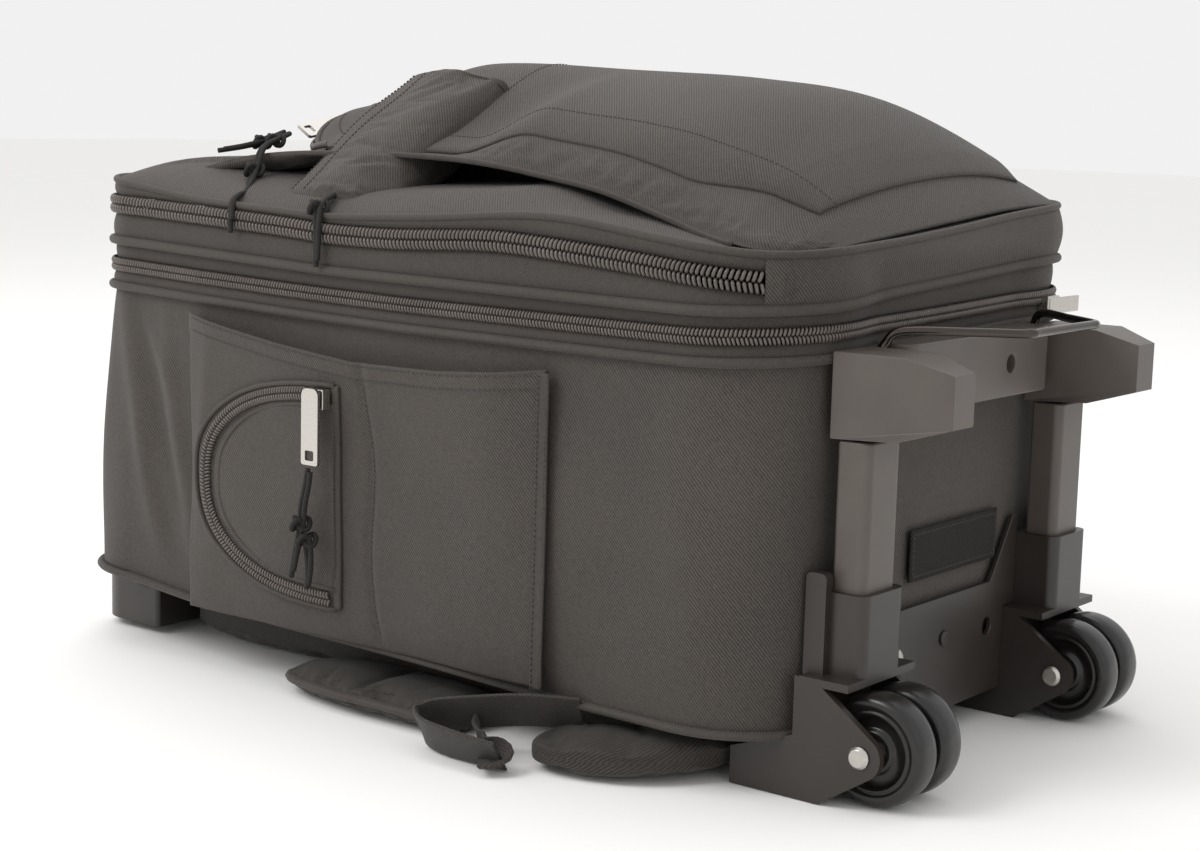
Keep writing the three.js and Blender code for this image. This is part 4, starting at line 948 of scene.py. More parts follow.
class BAG_OT_lid(bpy.types.Operator):
    """Builds the lid panel, the loose panel over it with its arched edge, and the front pocket"""

    bl_idname = "flight_bag.lid"
    bl_label = "Lid and front pocket"

    def execute(self, context):
        self.lid()
        self.slip_panel()
        self.pocket()
        return {"FINISHED"}

    def lid(self):
        """The lid lies flat behind its piping and rises a little behind the arched edge."""
        x = crowded(TOP_X + 0.5, BASE_X - 0.5, 150, 0.75)
        near_z = piping_z(x, -far_edge(x))
        gx, gy, v, gz = lid_grid(-far_edge(x), near_z + 0.5, x, crowded(0, 1, 70))
        ends = swell((gx - TOP_X) / 60) * swell((BASE_X - gx) / 60)
        rise = 15 * ends * swell(v / 0.22) * swell((1 - v) / 0.3) * (1 - 0.9 * step((gx + 225) / 70))
        mouth = 3.5 * hump(gx, -262, 70) * hump(v, 0.05, 0.06)
        base_z = piping_z(gx, gy) * 0.5 + gz * 0.5
        lid = surface("lid_cloth", at(gx, gy, base_z + rise + mouth), away=(0, 0, 1))
        solidify(lid, 2.2)
        finished(lid, "lid", "twill", ("lid_panel",))
        welt("lid_welt", PLACES, LID_Z, 1.8, 2.1, "lid")

    def slip_panel(self):
        """The loose panel over the lid, free along its arched near edge, which has a sewn hem."""
        px = crowded(TOP_X + 1.5, BASE_X - 2.0, 150, 0.7)
        gx, gy, v, gz = lid_grid(*arch(px), px, crowded(0, 1, 70))
        hold = np.maximum(1 - (gx - TOP_X) / 40, 1 - (BASE_X - gx) / 40).clip(0, 1) ** 0.7
        gz = held_level(gz, piping_z(gx, gy), hold)
        height = slip_height(gx, v, gz)
        panel = surface("front_slip_cloth", at(gx, gy, height), away=(0, 0, 1))
        pins = grid_pins(gx.shape, (4, 3), (4, 4)) | ((gx > POCKET_START) & (v > 0.035))
        puff(panel, pins, 0.4, 1.5, ease=0.03)
        solidify(panel, 1.8)
        finished(panel, "lid", "twill", ("front_slip_panel",))
        lip = at(gx[0], gy[0], height[0] - 0.6)
        inner = (px > -505) & (px < -75)
        hem = sweep("arch_hem", lip[inner], (0, 0, 1), soft_section(3.2 * MM, 2.4 * MM, 1.1 * MM))
        finished(hem, "lid", "binding")

    def pocket(self):
        """The zip pocket on the loose panel: its cloth, its walls, the zip round its near corner and the
        rows of stitches on it."""
        rows = np.linspace(0, 1, 70)[:, None]
        qx = crowded(POCKET_START, BASE_X - 20, 150, 0.5)
        slip_y, slip_z = arch(qx)
        round_near = np.sqrt(1 - (((-385 - qx) / 55).clip(0, 1)) ** 2)
        round_far = np.sqrt(1 - (((-405 - qx) / 35).clip(0, 1)) ** 2)
        wide = far_edge(qx) - slip_y
        first = 0.055 + 0.11 * step((qx + 130) / 95) + (1 - round_near) * 84 / wide
        last = 0.955 - 0.1 * step((qx + 130) / 95) - (1 - round_far) * 32 / wide
        gx, gy, v, gz = lid_grid(slip_y, slip_z, qx, first + (last - first) * rows)
        gz = held_level(gz, piping_z(gx, gy), (1 - (BASE_X - gx) / 40).clip(0, 1) ** 0.7)
        edges = np.clip(rows / 0.05, 0, 1) ** 0.5 * np.clip((1 - rows) / 0.05, 0, 1) ** 0.5
        end = np.clip((BASE_X - 20 - gx) / 12, 0, 1) ** 0.5
        proud = 1.8 + 2.6 * edges * end + 3.5 * hump(gx, -120, 40) * edges * end
        top = full_height(gx, v, gz) + proud
        below = slip_height(gx, v, gz) + 0.2
        wall = np.linspace(0, 1, 9)[None, :]
        left = np.stack([
            POCKET_START - 3.5 * np.sin(np.pi * wall) + 0 * top[:, :1],
            np.broadcast_to(gy[:, :1], (len(gy), 9)),
            below[:, :1] * (1 - wall) + top[:, :1] * wall,
        ], axis=-1)
        body = np.stack([gx, gy, top], axis=-1)
        joined = np.concatenate([left[:, :-1], body], axis=1)
        foot_z = np.concatenate([left[:, :-1, 2] * 0 + below[:, :1], below], axis=1)
        share = np.linspace(0, 1, 8)[:-1, None]
        walls = []
        for row in (0, -1):
            wall_rows = np.broadcast_to(joined[row][None], (7, *joined[row].shape)).copy()
            wall_rows[..., 2] = foot_z[row] * (1 - share) + joined[row, :, 2] * share
            tall = (joined[row, :, 2] - foot_z[row]).clip(0)
            wall_rows[..., 1] += (-1 if row == 0 else 1) * 0.14 * tall * np.sin(np.pi * share)
            walls.append(wall_rows)
        joined = np.concatenate([walls[0], joined, walls[1][::-1]], axis=0)
        pocket = surface("front_pocket_cloth", at(*np.moveaxis(joined, -1, 0)), away=(0, 0, 1))
        pins = grid_pins(joined.shape[:2], (9, 9), (11, 4)) | (np.abs(joined[..., 0] - HANDLE_X) < 45)
        puff(pocket, pins, 0.5, 2.5, ease=0.02)
        solidify(pocket, 1.6)
        finished(pocket, "lid", "twill", ("front_pocket",))

        bend = np.flatnonzero(qx < -392)[::-1]
        round_x = np.concatenate([qx[bend], np.full(len(gy) - 4, POCKET_START)])
        round_y = np.concatenate([gy[0, bend], gy[1:-3, 0]])
        foot = np.concatenate([below[0, bend], below[1:-3, 0]])
        brow = np.concatenate([top[0, bend], top[1:-3, 0]])
        for name, out, height in (
            ("coil", 3.2, (foot + brow) / 2 + 1.0), ("lower", 1.6, foot + 1.5), ("upper", 1.4, brow - 0.6),
        ):
            line = through(np.stack([round_x, round_y, height], axis=1), 400)
            ahead = unit(np.gradient(line, axis=0) * (1, 1, 0))
            outward = np.cross((0, 0, 1.0), ahead)
            path = at(*(line + outward * out).T)
            if name == "coil":
                coils("front_pocket", path, (0, 0, 1.0), outward, 4.1, 2.1, ("lid", "lid"))
                continue
            pipe = sweep(f"front_pocket_piping_{name}", path, (0, 0, 1), round_section(1.7 * MM, 8))
            finished(pipe, "lid", "binding")
        column = int(np.argmin(np.abs(qx - CROSS_SEAM_X)))
        stitches("pocket_edge_stitches", at(gx, gy, top)[5, 6:], (0, -0.4, 0.9), "lid")
        stitches("pocket_cross_stitches", at(gx, gy, top)[6:-4, column], (0, 0, 1.0), "lid")


# ---- Pockets on the side ------------------------------------------------------------------------

POCKET_LEFT, POCKET_RIGHT = -438.0, -172.0
POCKET_LOW = 36.0
D_LEFT, D_RIGHT, D_LOW, D_HIGH = -421.0, -313.0, 58.0, 176.0


def divider_x(z):
    """x of the seam that divides the slip pocket: it leans and wanders as it rises."""
    return -292 + 7 * (181 - z) / 140 + 2.2 * np.sin(z / 17)


def pocket_top(x):
    """Height of the slip pocket's sagging mouth."""
    heights = [209.5, 204, 199, 193.5, 194.5, 197.5, 201]
    return np.interp(x, [POCKET_LEFT, -400, -360, -300, -240, -200, POCKET_RIGHT], heights)


def pocket_out(x, z):
    """How far the slip pocket stands off the case's flat side, in millimetres."""
    hold = swell((x - POCKET_LEFT) / 26, 2) * swell((POCKET_RIGHT - x) / 40, 2)
    hold = hold * swell((z - POCKET_LOW) / 26, 2)
    mouth = step((z - pocket_top(x) + 60) / 60)
    full = 5.0 + 3.2 * mouth * np.sin(np.pi * np.clip((x - POCKET_LEFT) / 266, 0, 1)) ** 0.6
    sewn = -1.6 * hump(x, divider_x(z), 3.2)
    ripple = 1.1 * np.sin(x / 19 + z / 46) * np.sin(z / 33) + 0.8 * crease(x, z, (-262, 190), (-240, 60), 14)
    ripple = ripple + 1.4 * crease(x, z, (-420, 190), (-436, 60), 6)
    return 5.6 + hold * (full + sewn + ripple) + folds(NEAR_SIDE + x, z) * (1 - hold)


def on_pocket(x, z, out=0.0):
    """A point on the slip pocket's face, or out from it."""
    return at(x, SIDE_Y - pocket_out(x, z) - out, z)


def d_shape(turn, reach=1.0):
    """The D of the small pocket's zip: x and z at an angle from -90 to 90 degrees, drawn in by reach
    towards the middle of its straight edge."""
    rise = np.sign(np.sin(turn)) * np.abs(np.sin(turn)) ** 0.82
    wide = np.cos(turn).clip(0) ** 0.86
    x = D_RIGHT + (D_LEFT - D_RIGHT) * wide * reach
    z = (D_LOW + D_HIGH) / 2 + (D_HIGH - D_LOW) / 2 * rise * reach
    return x, z


class BAG_OT_pockets(bpy.types.Operator):
    """Builds the slip pocket on the side and the small D-shaped pocket on it"""

    bl_idname = "flight_bag.pockets"
    bl_label = "Side pockets"

    def execute(self, context):
        sizes = context.scene.flight_bag
        x = np.linspace(POCKET_LEFT, POCKET_RIGHT, 220)
        rows = np.linspace(0, 1, 120)[:, None]
        z = POCKET_LOW * (1 - rows) + pocket_top(x)[None] * rows
        gx = np.broadcast_to(x, z.shape)
        hem = 0.7 * step((z - pocket_top(gx) + 11.5) / 1.2)
        cloth_points = on_pocket(gx, z, hem)
        tucked = on_pocket(gx[-1:], z[-1:] - 1.0, -1.8)
        cloth_points = np.concatenate([cloth_points, tucked, on_pocket(gx[-1:], z[-1:] - 10, -2.2)], axis=0)
        pocket = surface("side_pocket_cloth", cloth_points, away=(0, -1, 0))
        solidify(pocket, 1.2)
        finished(pocket, "case", "twill", ("side_pocket",))
        for k, inset in enumerate((2.2, 9.2)):
            line = on_pocket(x[4:-6], pocket_top(x[4:-6]) - inset, 0.7)
            stitches(f"pocket_hem_stitches_{k}", line, (0, -1.0, 0), "case")
        tall = np.linspace(44, 181, 90)
        stitches("pocket_divider_stitches", on_pocket(divider_x(tall), tall), (0, -1.0, 0), "case")

        strip_z = np.linspace(199, 35, 90)
        strip = sweep(
            "pocket_end_binding", on_pocket(np.full(90, -173.2), strip_z, 1.0), (1.0, 0, 0),
            soft_section(7.6 * MM, 1.6 * MM, 0.7 * MM),
        )
        finished(strip, "case", "binding")
        for k, place in enumerate((-175.6, -170.8)):
            line = on_pocket(np.full(90, place), strip_z, 1.8)
            stitches(f"pocket_end_stitches_{k}", line, (0, -1.0, 0), "case")

        turn = np.linspace(-np.pi / 2, np.pi / 2, 121)
        reach = np.concatenate([np.linspace(0, 0.86, 40), [0.875, 0.89, 0.90]])[:, None]
        px, pz = d_shape(turn[None], reach)
        inside = 1.2 + 1.8 * (1 - reach**4) + 0.5 * np.sin(px / 11) * np.sin(pz / 15)
        flap = surface("d_pocket_flap", on_pocket(px, pz, inside), away=(0, -1, 0), plane=(0, 2))
        solidify(flap, 1.4)
        finished(flap, "case", "twill", ("d_pocket",))
        lip = np.array([0.86, 0.885, 0.93, 0.98, 1.03, 1.055])[:, None]
        bx, bz = d_shape(turn[None], lip)
        out = np.array([0.2, 1.6, 1.4, 1.4, 1.6, 0.2])[:, None]
        tape = surface("d_pocket_tape", on_pocket(bx, bz, out), away=(0, -1, 0))
        finished(tape, "case", "herringbone")
        for name, share, radius in (("outer", 1.055, 1.5), ("inner", 0.868, 1.3)):
            wx, wz = d_shape(turn, share)
            edge_cord = sweep(
                f"d_pocket_welt_{name}", on_pocket(wx, wz, 1.6), (0, -1.0, 0), round_section(radius * MM, 8)
            )
            finished(edge_cord, "case", "binding")
        fine = np.linspace(-np.pi / 2 + 0.02, np.pi / 2 - 0.14, 700)
        cx, cz = d_shape(fine, 0.965)
        path = on_pocket(cx, cz, 1.6)
        run = unit(np.gradient(path, axis=0))
        coils(
            "d_pocket", path, unit(np.cross((0, -1.0, 0), run)), (0, -1.0, 0),
            sizes.expansion_half / MM, sizes.expansion_pitch / MM, ("case", "case"),
        )
        edge_z = np.linspace(D_LOW - 3, D_HIGH + 3, 60)
        straight = sweep(
            "d_pocket_edge", on_pocket(np.full(60, D_RIGHT + 1.0), edge_z, 1.2), (1.0, 0, 0),
            soft_section(5 * MM, 2.2 * MM, 0.9 * MM),
        )
        finished(straight, "case", "binding")
        return {"FINISHED"}


# ---- Padded pieces and straps -------------------------------------------------------------------


def loft(name, path, side, widths, heights, power=3.0, points=44):
    """Super-ellipse sections along a path: |a| ** power + |b| ** power = 1, with a half width and a
    half height at each place. Both ends are closed."""
    turn = 2 * np.pi * np.arange(points) / points
    a = np.sign(np.cos(turn)) * np.abs(np.cos(turn)) ** (2 / power)
    b = np.sign(np.sin(turn)) * np.abs(np.sin(turn)) ** (2 / power)
    _, across, up = directions(path, side)
    grid = (
        path[:, None]
        + (np.asarray(widths)[:, None] * a)[..., None] * across[:, None] * MM
        + (np.asarray(heights)[:, None] * b)[..., None] * up[:, None] * MM
    )
    return surface(name, grid, wrap_columns=True, caps=True)


def puff(piece, pinned, pressure, cap, ease=0.04, frames=20):
    """Blows a piece up as cloth: pressure pushes along its normals while the pinned vertices hold
    their place and the cloth is cut larger by ease, so that it crowns and creases from its seams.
    Each vertex keeps at most cap millimetres of its movement."""
    scene = bpy.context.scene
    held = piece.vertex_groups.new(name="Seams")
    held.add(np.flatnonzero(np.ravel(pinned)).tolist(), 1.0, "REPLACE")
    rest = np.empty(len(piece.data.vertices) * 3, np.float32)
    piece.data.vertices.foreach_get("co", rest)
    modifier = piece.modifiers.new("Cloth", "CLOTH")
    settings = modifier.settings
    settings.quality = 6
    settings.mass = 0.3
    settings.tension_stiffness = settings.compression_stiffness = 12
    settings.bending_stiffness = 0.4
    settings.use_pressure = True
    settings.uniform_pressure_force = pressure
    settings.shrink_min = -ease
    settings.vertex_group_mass = held.name
    settings.effector_weights.gravity = 0
    modifier.point_cache.frame_start = 1
    modifier.point_cache.frame_end = frames
    for frame_number in range(1, frames + 1):
        scene.frame_set(frame_number)
    evaluated = piece.evaluated_get(bpy.context.evaluated_depsgraph_get())
    blown = np.empty_like(rest)
    evaluated.data.vertices.foreach_get("co", blown)
    moved = (blown - rest).reshape(-1, 3)
    size = np.linalg.norm(moved, axis=1, keepdims=True)
    moved = moved * np.minimum(1, cap * MM / np.maximum(size, 1e-9))
    piece.modifiers.remove(modifier)
    piece.data.vertices.foreach_set("co", (rest.reshape(-1, 3) + moved).ravel())
    piece.data.update()
    scene.frame_set(1)


def blunt(t, power=3.0):
    """Half width along a piece with rounded ends: 1 in the middle and 0 at t = 0 and 1."""
    return np.maximum(1 - np.abs(2 * t - 1) ** power, 0.0) ** (1 / power) + 0.02


GROUND_GAP = 0.4


def laid(piece):
    """Presses what would sink into the ground flat onto it."""
    points = np.empty(len(piece.data.vertices) * 3, np.float32)
    piece.data.vertices.foreach_get("co", points)
    points[2::3] = np.maximum(points[2::3], GROUND_GAP * MM)
    piece.data.vertices.foreach_set("co", points)
    piece.data.update()
    return piece


class BAG_OT_carry_handle(bpy.types.Operator):
    """Builds the padded wrap of the carry handle that stands across the front"""

    bl_idname = "flight_bag.carry_handle"
    bl_label = "Carry handle"

    def execute(self, context):
        t = np.linspace(0, 1, 90)[:, None]
        low, high = at(HANDLE_X, -150, 283), at(HANDLE_X, -33, 352)
        axis = unit(high - low)
        wide = np.array([1.0, 0.0, 0.0])
        normal = np.cross(wide, axis)
        ends = swell(t / 0.07, 2) * swell((1 - t) / 0.05, 2)
        outer = np.array([
            (-33, -5.5), (-34, -3.4), (-33, -1.2), (-30, 0.2), (-22, 1.2), (-10, 1.8), (4, 1.8), (16, 1.0),
            (25, -1.6), (31, -6.5), (34, -13), (35, -20), (35, -26), (33.5, -29), (31, -30.5), (28, -29),
            (27, -24), (26.5, -17), (23, -11.5), (15, -9), (0, -8.5), (-15, -8.2), (-28, -7.6),
        ], float)
        around = through(np.concatenate([outer, outer[:1]]), 73)[:-1]
        w, n = around[None, :, 0], around[None, :, 1]
        droop = 0.42 + 0.58 * step((t - 0.05) / 0.5)
        n = np.where(n < -9, -9 + (n + 9) * droop, n)
        n = -4.5 + (n + 4.5) * (0.16 + 0.84 * ends)
        lean = 6.0 * (1 - step(t / 0.3)) * step((w - 5) / 30)
        w = w * (1 - 0.06 * (1 - step(t / 0.12))) + 4 * (1 - step(t / 0.25)) * step((w + 34) / 60) - lean
        ripple = 0.9 * np.sin(9 * t + w / 9) * ends + 1.1 * hump(t, 0.27, 0.05) * hump(w, 18, 12)
        ripple = ripple - 1.6 * hump(t, 0.2 + 0.004 * w, 0.022) * step((w - 2) / 14)
        n = n + ripple * (n > -8)
        slump = 7.0 * (1 - t) ** 2 * np.sin(np.pi * np.clip(t + 0.3, 0, 1))
        grid = low + (high - low) * t[..., None] + (w * MM)[..., None] * wide
        grid = grid + ((n - slump) * MM)[..., None] * normal
        wrap = surface("carry_handle_wrap", grid, wrap_columns=True, caps=True)
        puff(wrap, grid_pins(grid.shape[:2], (4, 4), more_columns=range(2, 9)), 3.0, 4.0)
        smooth(wrap)
        finished(wrap, "carry_handle", "twill", ("carry_handle",))
        for k, column in enumerate((3, 7)):
            line = grid[5:-4, column] + normal * 0.1 * MM
            stitches(f"handle_stitches_{k}", line, normal, "carry_handle")
        routes = {
            "upper": [(0, -44, 336), (0, -30, 338), (1, -14, 343), (2, 4, 350)],
            "lower": [(-4, -139, 282), (-4, -133, 280), (-3, -126, 284), (-2, -117, 291)],
        }
        for name, route in routes.items():
            points = through([(HANDLE_X + x, y, z) for x, y, z in route], 40)
            tab = sweep(
                f"handle_web_{name}", at(*points.T), (1.0, 0, 0), soft_section(24 * MM, 2.2 * MM, 1.0 * MM)
            )
            clad(tab, "webbing")
            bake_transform(tab)
        return {"FINISHED"}


WEB_ROUTE = [
    (-150, -158, 25), (-176, -172, 25), (-203, -183, 21), (-221, -189, 17), (-226, -196, 13),
    (-214, -203, 11), (-190, -204.5, 9.5), (-166, -203, 8),
]
WEB_END_ROUTE = [(-205, -176, 10), (-196, -183, 9), (-182, -192, 7), (-172, -200, 5.5), (-178, -206, 4.5)]
TAIL_ROUTE = [(-168, -166, 9), (-140, -163, 10), (-116, -152, 11), (-102, -130, 12), (-96, -104, 12)]


class BAG_OT_straps(bpy.types.Operator):
    """Builds the back pad and the shoulder straps that lie under the case"""

    bl_idname = "flight_bag.straps"
    bl_label = "Back pad and straps"

    def execute(self, context):
        t = np.linspace(0, 1, 120)
        path = at(-505 + 428 * t, 0, 17.2)
        quilt = 1 - 0.2 * (hump(t, 0.34, 0.012) + hump(t, 0.66, 0.012))
        heights = 13.8 * blunt(t, 7) * quilt
        pad = loft("back_pad_cushion", path, (0, 1.0, 0), 119 * blunt(t, 9), heights, 6.0, 96)
        pins = grid_pins((120, 96), (2, 2), (3, 2), range(46, 51))
        pins[[40, 41, 79, 80]] = True
        puff(pad, pins, 2.0, 3.0, ease=0.02)
        finished(pad, "case", "twill_dark", ("back_pad",))
        for name, side in (("near", -1), ("far", 1)):
            self.strap(name, side)
        return {"FINISHED"}

    def strap(self, name, side):
        """One shoulder strap: its pad with a bound edge, its webbing, and the padded tail."""
        t = np.linspace(0, 1, 70)
        droop = 1.5 * np.sin(np.pi * t)
        path = at(-361 + 138 * t, side * (149.5 + 2 * t), 7.6 + droop)
        widths = 27 * np.where(t < 0.5, blunt(t, 2.6), 1.0) * (1 - 0.03 * np.sin(9 * t))
        heights = 6.6 * np.where(t < 0.5, blunt(t, 4), blunt(t, 12))
        pad = loft(f"strap_pad_cushion_{name}", path, (0, 1.0, 0), widths, heights, 3.4)
        self.cushion(pad, 70, 3.5, f"strap_pad_{name}")
        _, across, _ = directions(path, (0, 1.0, 0))
        edge_path = path + across * (side * widths * MM)[:, None]
        edge_path[:, 2] += 0.5 * MM
        rim = sweep(f"strap_pad_binding_{name}", edge_path, (0, 0, 1.0), round_section(2.4 * MM, 8, 1.3))
        finished(rim, "case", "binding")
        line = edge_path - across * side * 6 * MM
        line[:, 2] += 5.6 * MM * np.clip(heights / 6.6, 0, 1)
        stitches(f"strap_pad_stitches_{name}", line[8:-4], (0, 0, 1.0), "case")

        for kind, route, count, width, tilt, replaces in (
            ("web", WEB_ROUTE, 120, 24, (0.1, side * 0.55, 0.83), (f"strap_webbing_{name}",)),
            ("web_end", WEB_END_ROUTE, 60, 23, (0.7, side * 0.6, 0.1), ()),
        ):
            ribbon = through(route, count) * (1, -side, 1)
            section = soft_section(width * MM, 2 * MM, 0.9 * MM)
            loop = sweep(f"strap_{kind}_{name}", at(*ribbon.T), tilt, section)
            finished(laid(loop), "case", "webbing", replaces)
        tail_path = through(TAIL_ROUTE, 60) * (1, -side, 1)
        ends = blunt(np.linspace(0, 1, 60), 4)
        tail = loft(
            f"strap_tail_cushion_{name}", at(*tail_path.T), (0.3, side * 1.0, 0), 23 * ends, 9 * ends, 3.2,
        )
        self.cushion(tail, 60, 3.0, f"strap_tail_{name}")

    def cushion(self, pad, rows, cap, node):
        """Blows up a pad that is pinned at its ends and along its two sewn edges, and lays it down."""
        pins = grid_pins((rows, 44), (3, 3), (2, 1), (21, 22, 23))
        puff(pad, pins, 3.0, cap)
        laid(pad)
        smooth(pad)
        finished(pad, "case", "twill_dark", (node,))


# ---- Sliders, pulls and cords -------------------------------------------------------------------


def knot(name, centre, size, body):
    """A stopper knot: a trefoil, (sin t + 2 sin 2t, cos t - 2 cos 2t, -1.6 sin 3t), scaled to its size."""
    t = 2 * np.pi * np.arange(72) / 72
    x, y = np.sin(t) + 2 * np.sin(2 * t), np.cos(t) - 2 * np.cos(2 * t)
    curve = np.stack([x, y, -1.6 * np.sin(3 * t)], axis=1)
    path = np.asarray(centre) + curve * (size / 6) * MM
    piece = sweep(name, path, (0.2, 0.1, 1.0), round_section(1.5 * MM, 10), closed=True)
    return finished(piece, body, "cord")


CORDS = {
    "pull_cord_short": ("front_pull", [
        (-452, -79, 312), (-451, -88, 309.5), (-450, -98, 306.5), (-452, -112, 303.5), (-458.5, -126, 301),
    ], [0.42]),
    "pull_cord_long": ("front_pull", [
        (-447, -79, 311.5), (-441, -92, 309), (-436, -105, 306.5), (-431.5, -117.5, 302),
        (-425.5, -130, 287.5), (-417, -144, 278.5), (-410.5, -155, 277), (-406, -163.5, 273.5),
        (-403, -167, 265), (-402, -168, 257),
    ], [0.2, 0.48]),
    "hidden_pull_cord": ("lid", [
        (-344, -144.8, 280.4), (-343, -150, 278.6), (-341, -157, 276.6), (-338.5, -163.3, 273),
        (-336, -166.5, 265), (-334.5, -167.5, 254), (-334, -168, 242),
    ], [0.36]),
    "side_cord_long": ("side_pull", [
        (-322, -185, 134), (-324, -185, 124), (-326.5, -185.5, 113), (-327, -186, 101), (-330, -185.5, 90),
        (-332.5, -185, 81), (-335, -184.5, 72),
    ], [0.5]),
    "side_cord_short": ("side_pull", [
        (-323, -185, 98), (-323, -185, 91), (-322.5, -184.5, 83), (-322.5, -184, 75), (-323.5, -184, 67),
    ], [0.12]),
}


class BAG_OT_cords(bpy.types.Operator):
    """Builds the knotted cords on the zip pulls"""

    bl_idname = "flight_bag.cords"
    bl_label = "Pull cords"

    def execute(self, context):
        radius = context.scene.flight_bag.cord_radius
        for name, (body, route, knots) in CORDS.items():
            path = at(*through(route, 90).T)
            piece = sweep(f"{name}_braid", path, (1.0, 0.2, 0.1), round_section(radius, 14))
            finished(piece, body, "cord", (name,))
            tied = [
                knot(f"{name}_knot_{k}", path[int(share * 89)], 11, body) for k, share in enumerate(knots)
            ]
            apart = (2.9 + 1.2 * np.sin(np.linspace(0, 5, 90))) * MM
            twin_path = path + apart[:, None] * np.array([0.85, -0.1, 0.35])
            twin = sweep(f"{name}_twin", twin_path[4:-5], (1.0, 0.2, 0.1), round_section(radius, 14))
            tied.append(finished(twin, body, "cord"))
        return {"FINISHED"}


class BAG_OT_pulls(bpy.types.Operator):
    """Gives the zip sliders and pull tabs their rounded nickel-plated shapes"""

    bl_idname = "flight_bag.pulls"
    bl_label = "Sliders and pulls"

    def execute(self, context):
        for node in (
            "front_slider", "front_pull", "d_zip_slider", "d_pull", "expansion_slider", "hidden_pull",
            "main_slider_near", "main_slider_far",
        ):
            refined(node, "plated", "nickel", 0.5)
        return {"FINISHED"}


# ---- Wheels, trolley and fittings ---------------------------------------------------------------


def lathe(name, profile, centre, sides=96):
    """A closed profile of (radius, place along Y) turned about an axis along Y."""
    turn = 2 * np.pi * np.arange(sides) / sides
    profile = np.asarray(profile, float)
    r, y = profile[:, :1], profile[:, 1:]
    ring = at(centre[0] + r * np.cos(turn), centre[1] + y + 0 * turn, centre[2] + r * np.sin(turn))
    return surface(name, ring, wrap_rows=True, wrap_columns=True)


class BAG_OT_wheels(bpy.types.Operator):
    """Builds the four wheels and their axles"""

    bl_idname = "flight_bag.wheels"
    bl_label = "Wheels"

    def execute(self, context):
        half = [
            (6.0, 0), (6.0, 7.4), (6.6, 8.0), (9.6, 8.2), (10.6, 7.6), (11.4, 6.0), (12.4, 5.6), (16.6, 5.6),
            (17.6, 6.2), (18.2, 8.2), (19.0, 9.0), (20.0, 8.6), (20.6, 8.0), (21.2, 8.6), (22.2, 9.4),
            (24.0, 9.5), (25.8, 8.9), (27.0, 7.5), (27.7, 5.4), (28.0, 2.6), (28.0, 0),
        ]
        share = WHEEL_RADIUS / 28.0
        profile = [(r * share, y) for r, y in half] + [(r * share, -y) for r, y in half[-2:0:-1]]
        for side in ("near", "far"):
            for row in ("outer", "inner"):
                node = f"wheel_{side}_{row}"
                y = middle(node).y / MM
                wheel = lathe(f"{node}_tyre", profile, (0.0, y, WHEEL_RADIUS))
                finished(wheel, node, "tyre", (node,))
            refined(f"axle_{side}", "rod", "steel", 1.6, segments=5)
        return {"FINISHED"}


# Each fitting's node, how it is made, its finish and the width of its rounded edges.
MOULDINGS = [
    (f"{node}_{side}", kind, look, width)
    for side in ("near", "far")
    for node, kind, look, width in (
        ("strut", "moulding", "plastic", 1.4),
        ("foot", "moulding", "plastic", 1.6),
        ("wheel_housing", "moulding", "dark_plastic", 1.0),
        ("middle_tube", "extrusion", "aluminium", 0.4),
        ("inner_tube", "extrusion", "aluminium", 0.4),
    )
] + [
    ("outer_tube_frame", "extrusion", "aluminium", 0.4),
    ("cross_bar", "moulding", "plastic", 1.2),
    ("base_plate", "moulding", "dark_plastic", 0.6),
    ("plate_rivet_near", "head", "steel", 1.0),
    ("plate_rivet_centre", "head", "dark_plastic", 0.6),
    ("handle_housing", "moulding", "dark_plastic", 1.8),
    ("grip_button", "moulding", "plastic", 0.8),
]


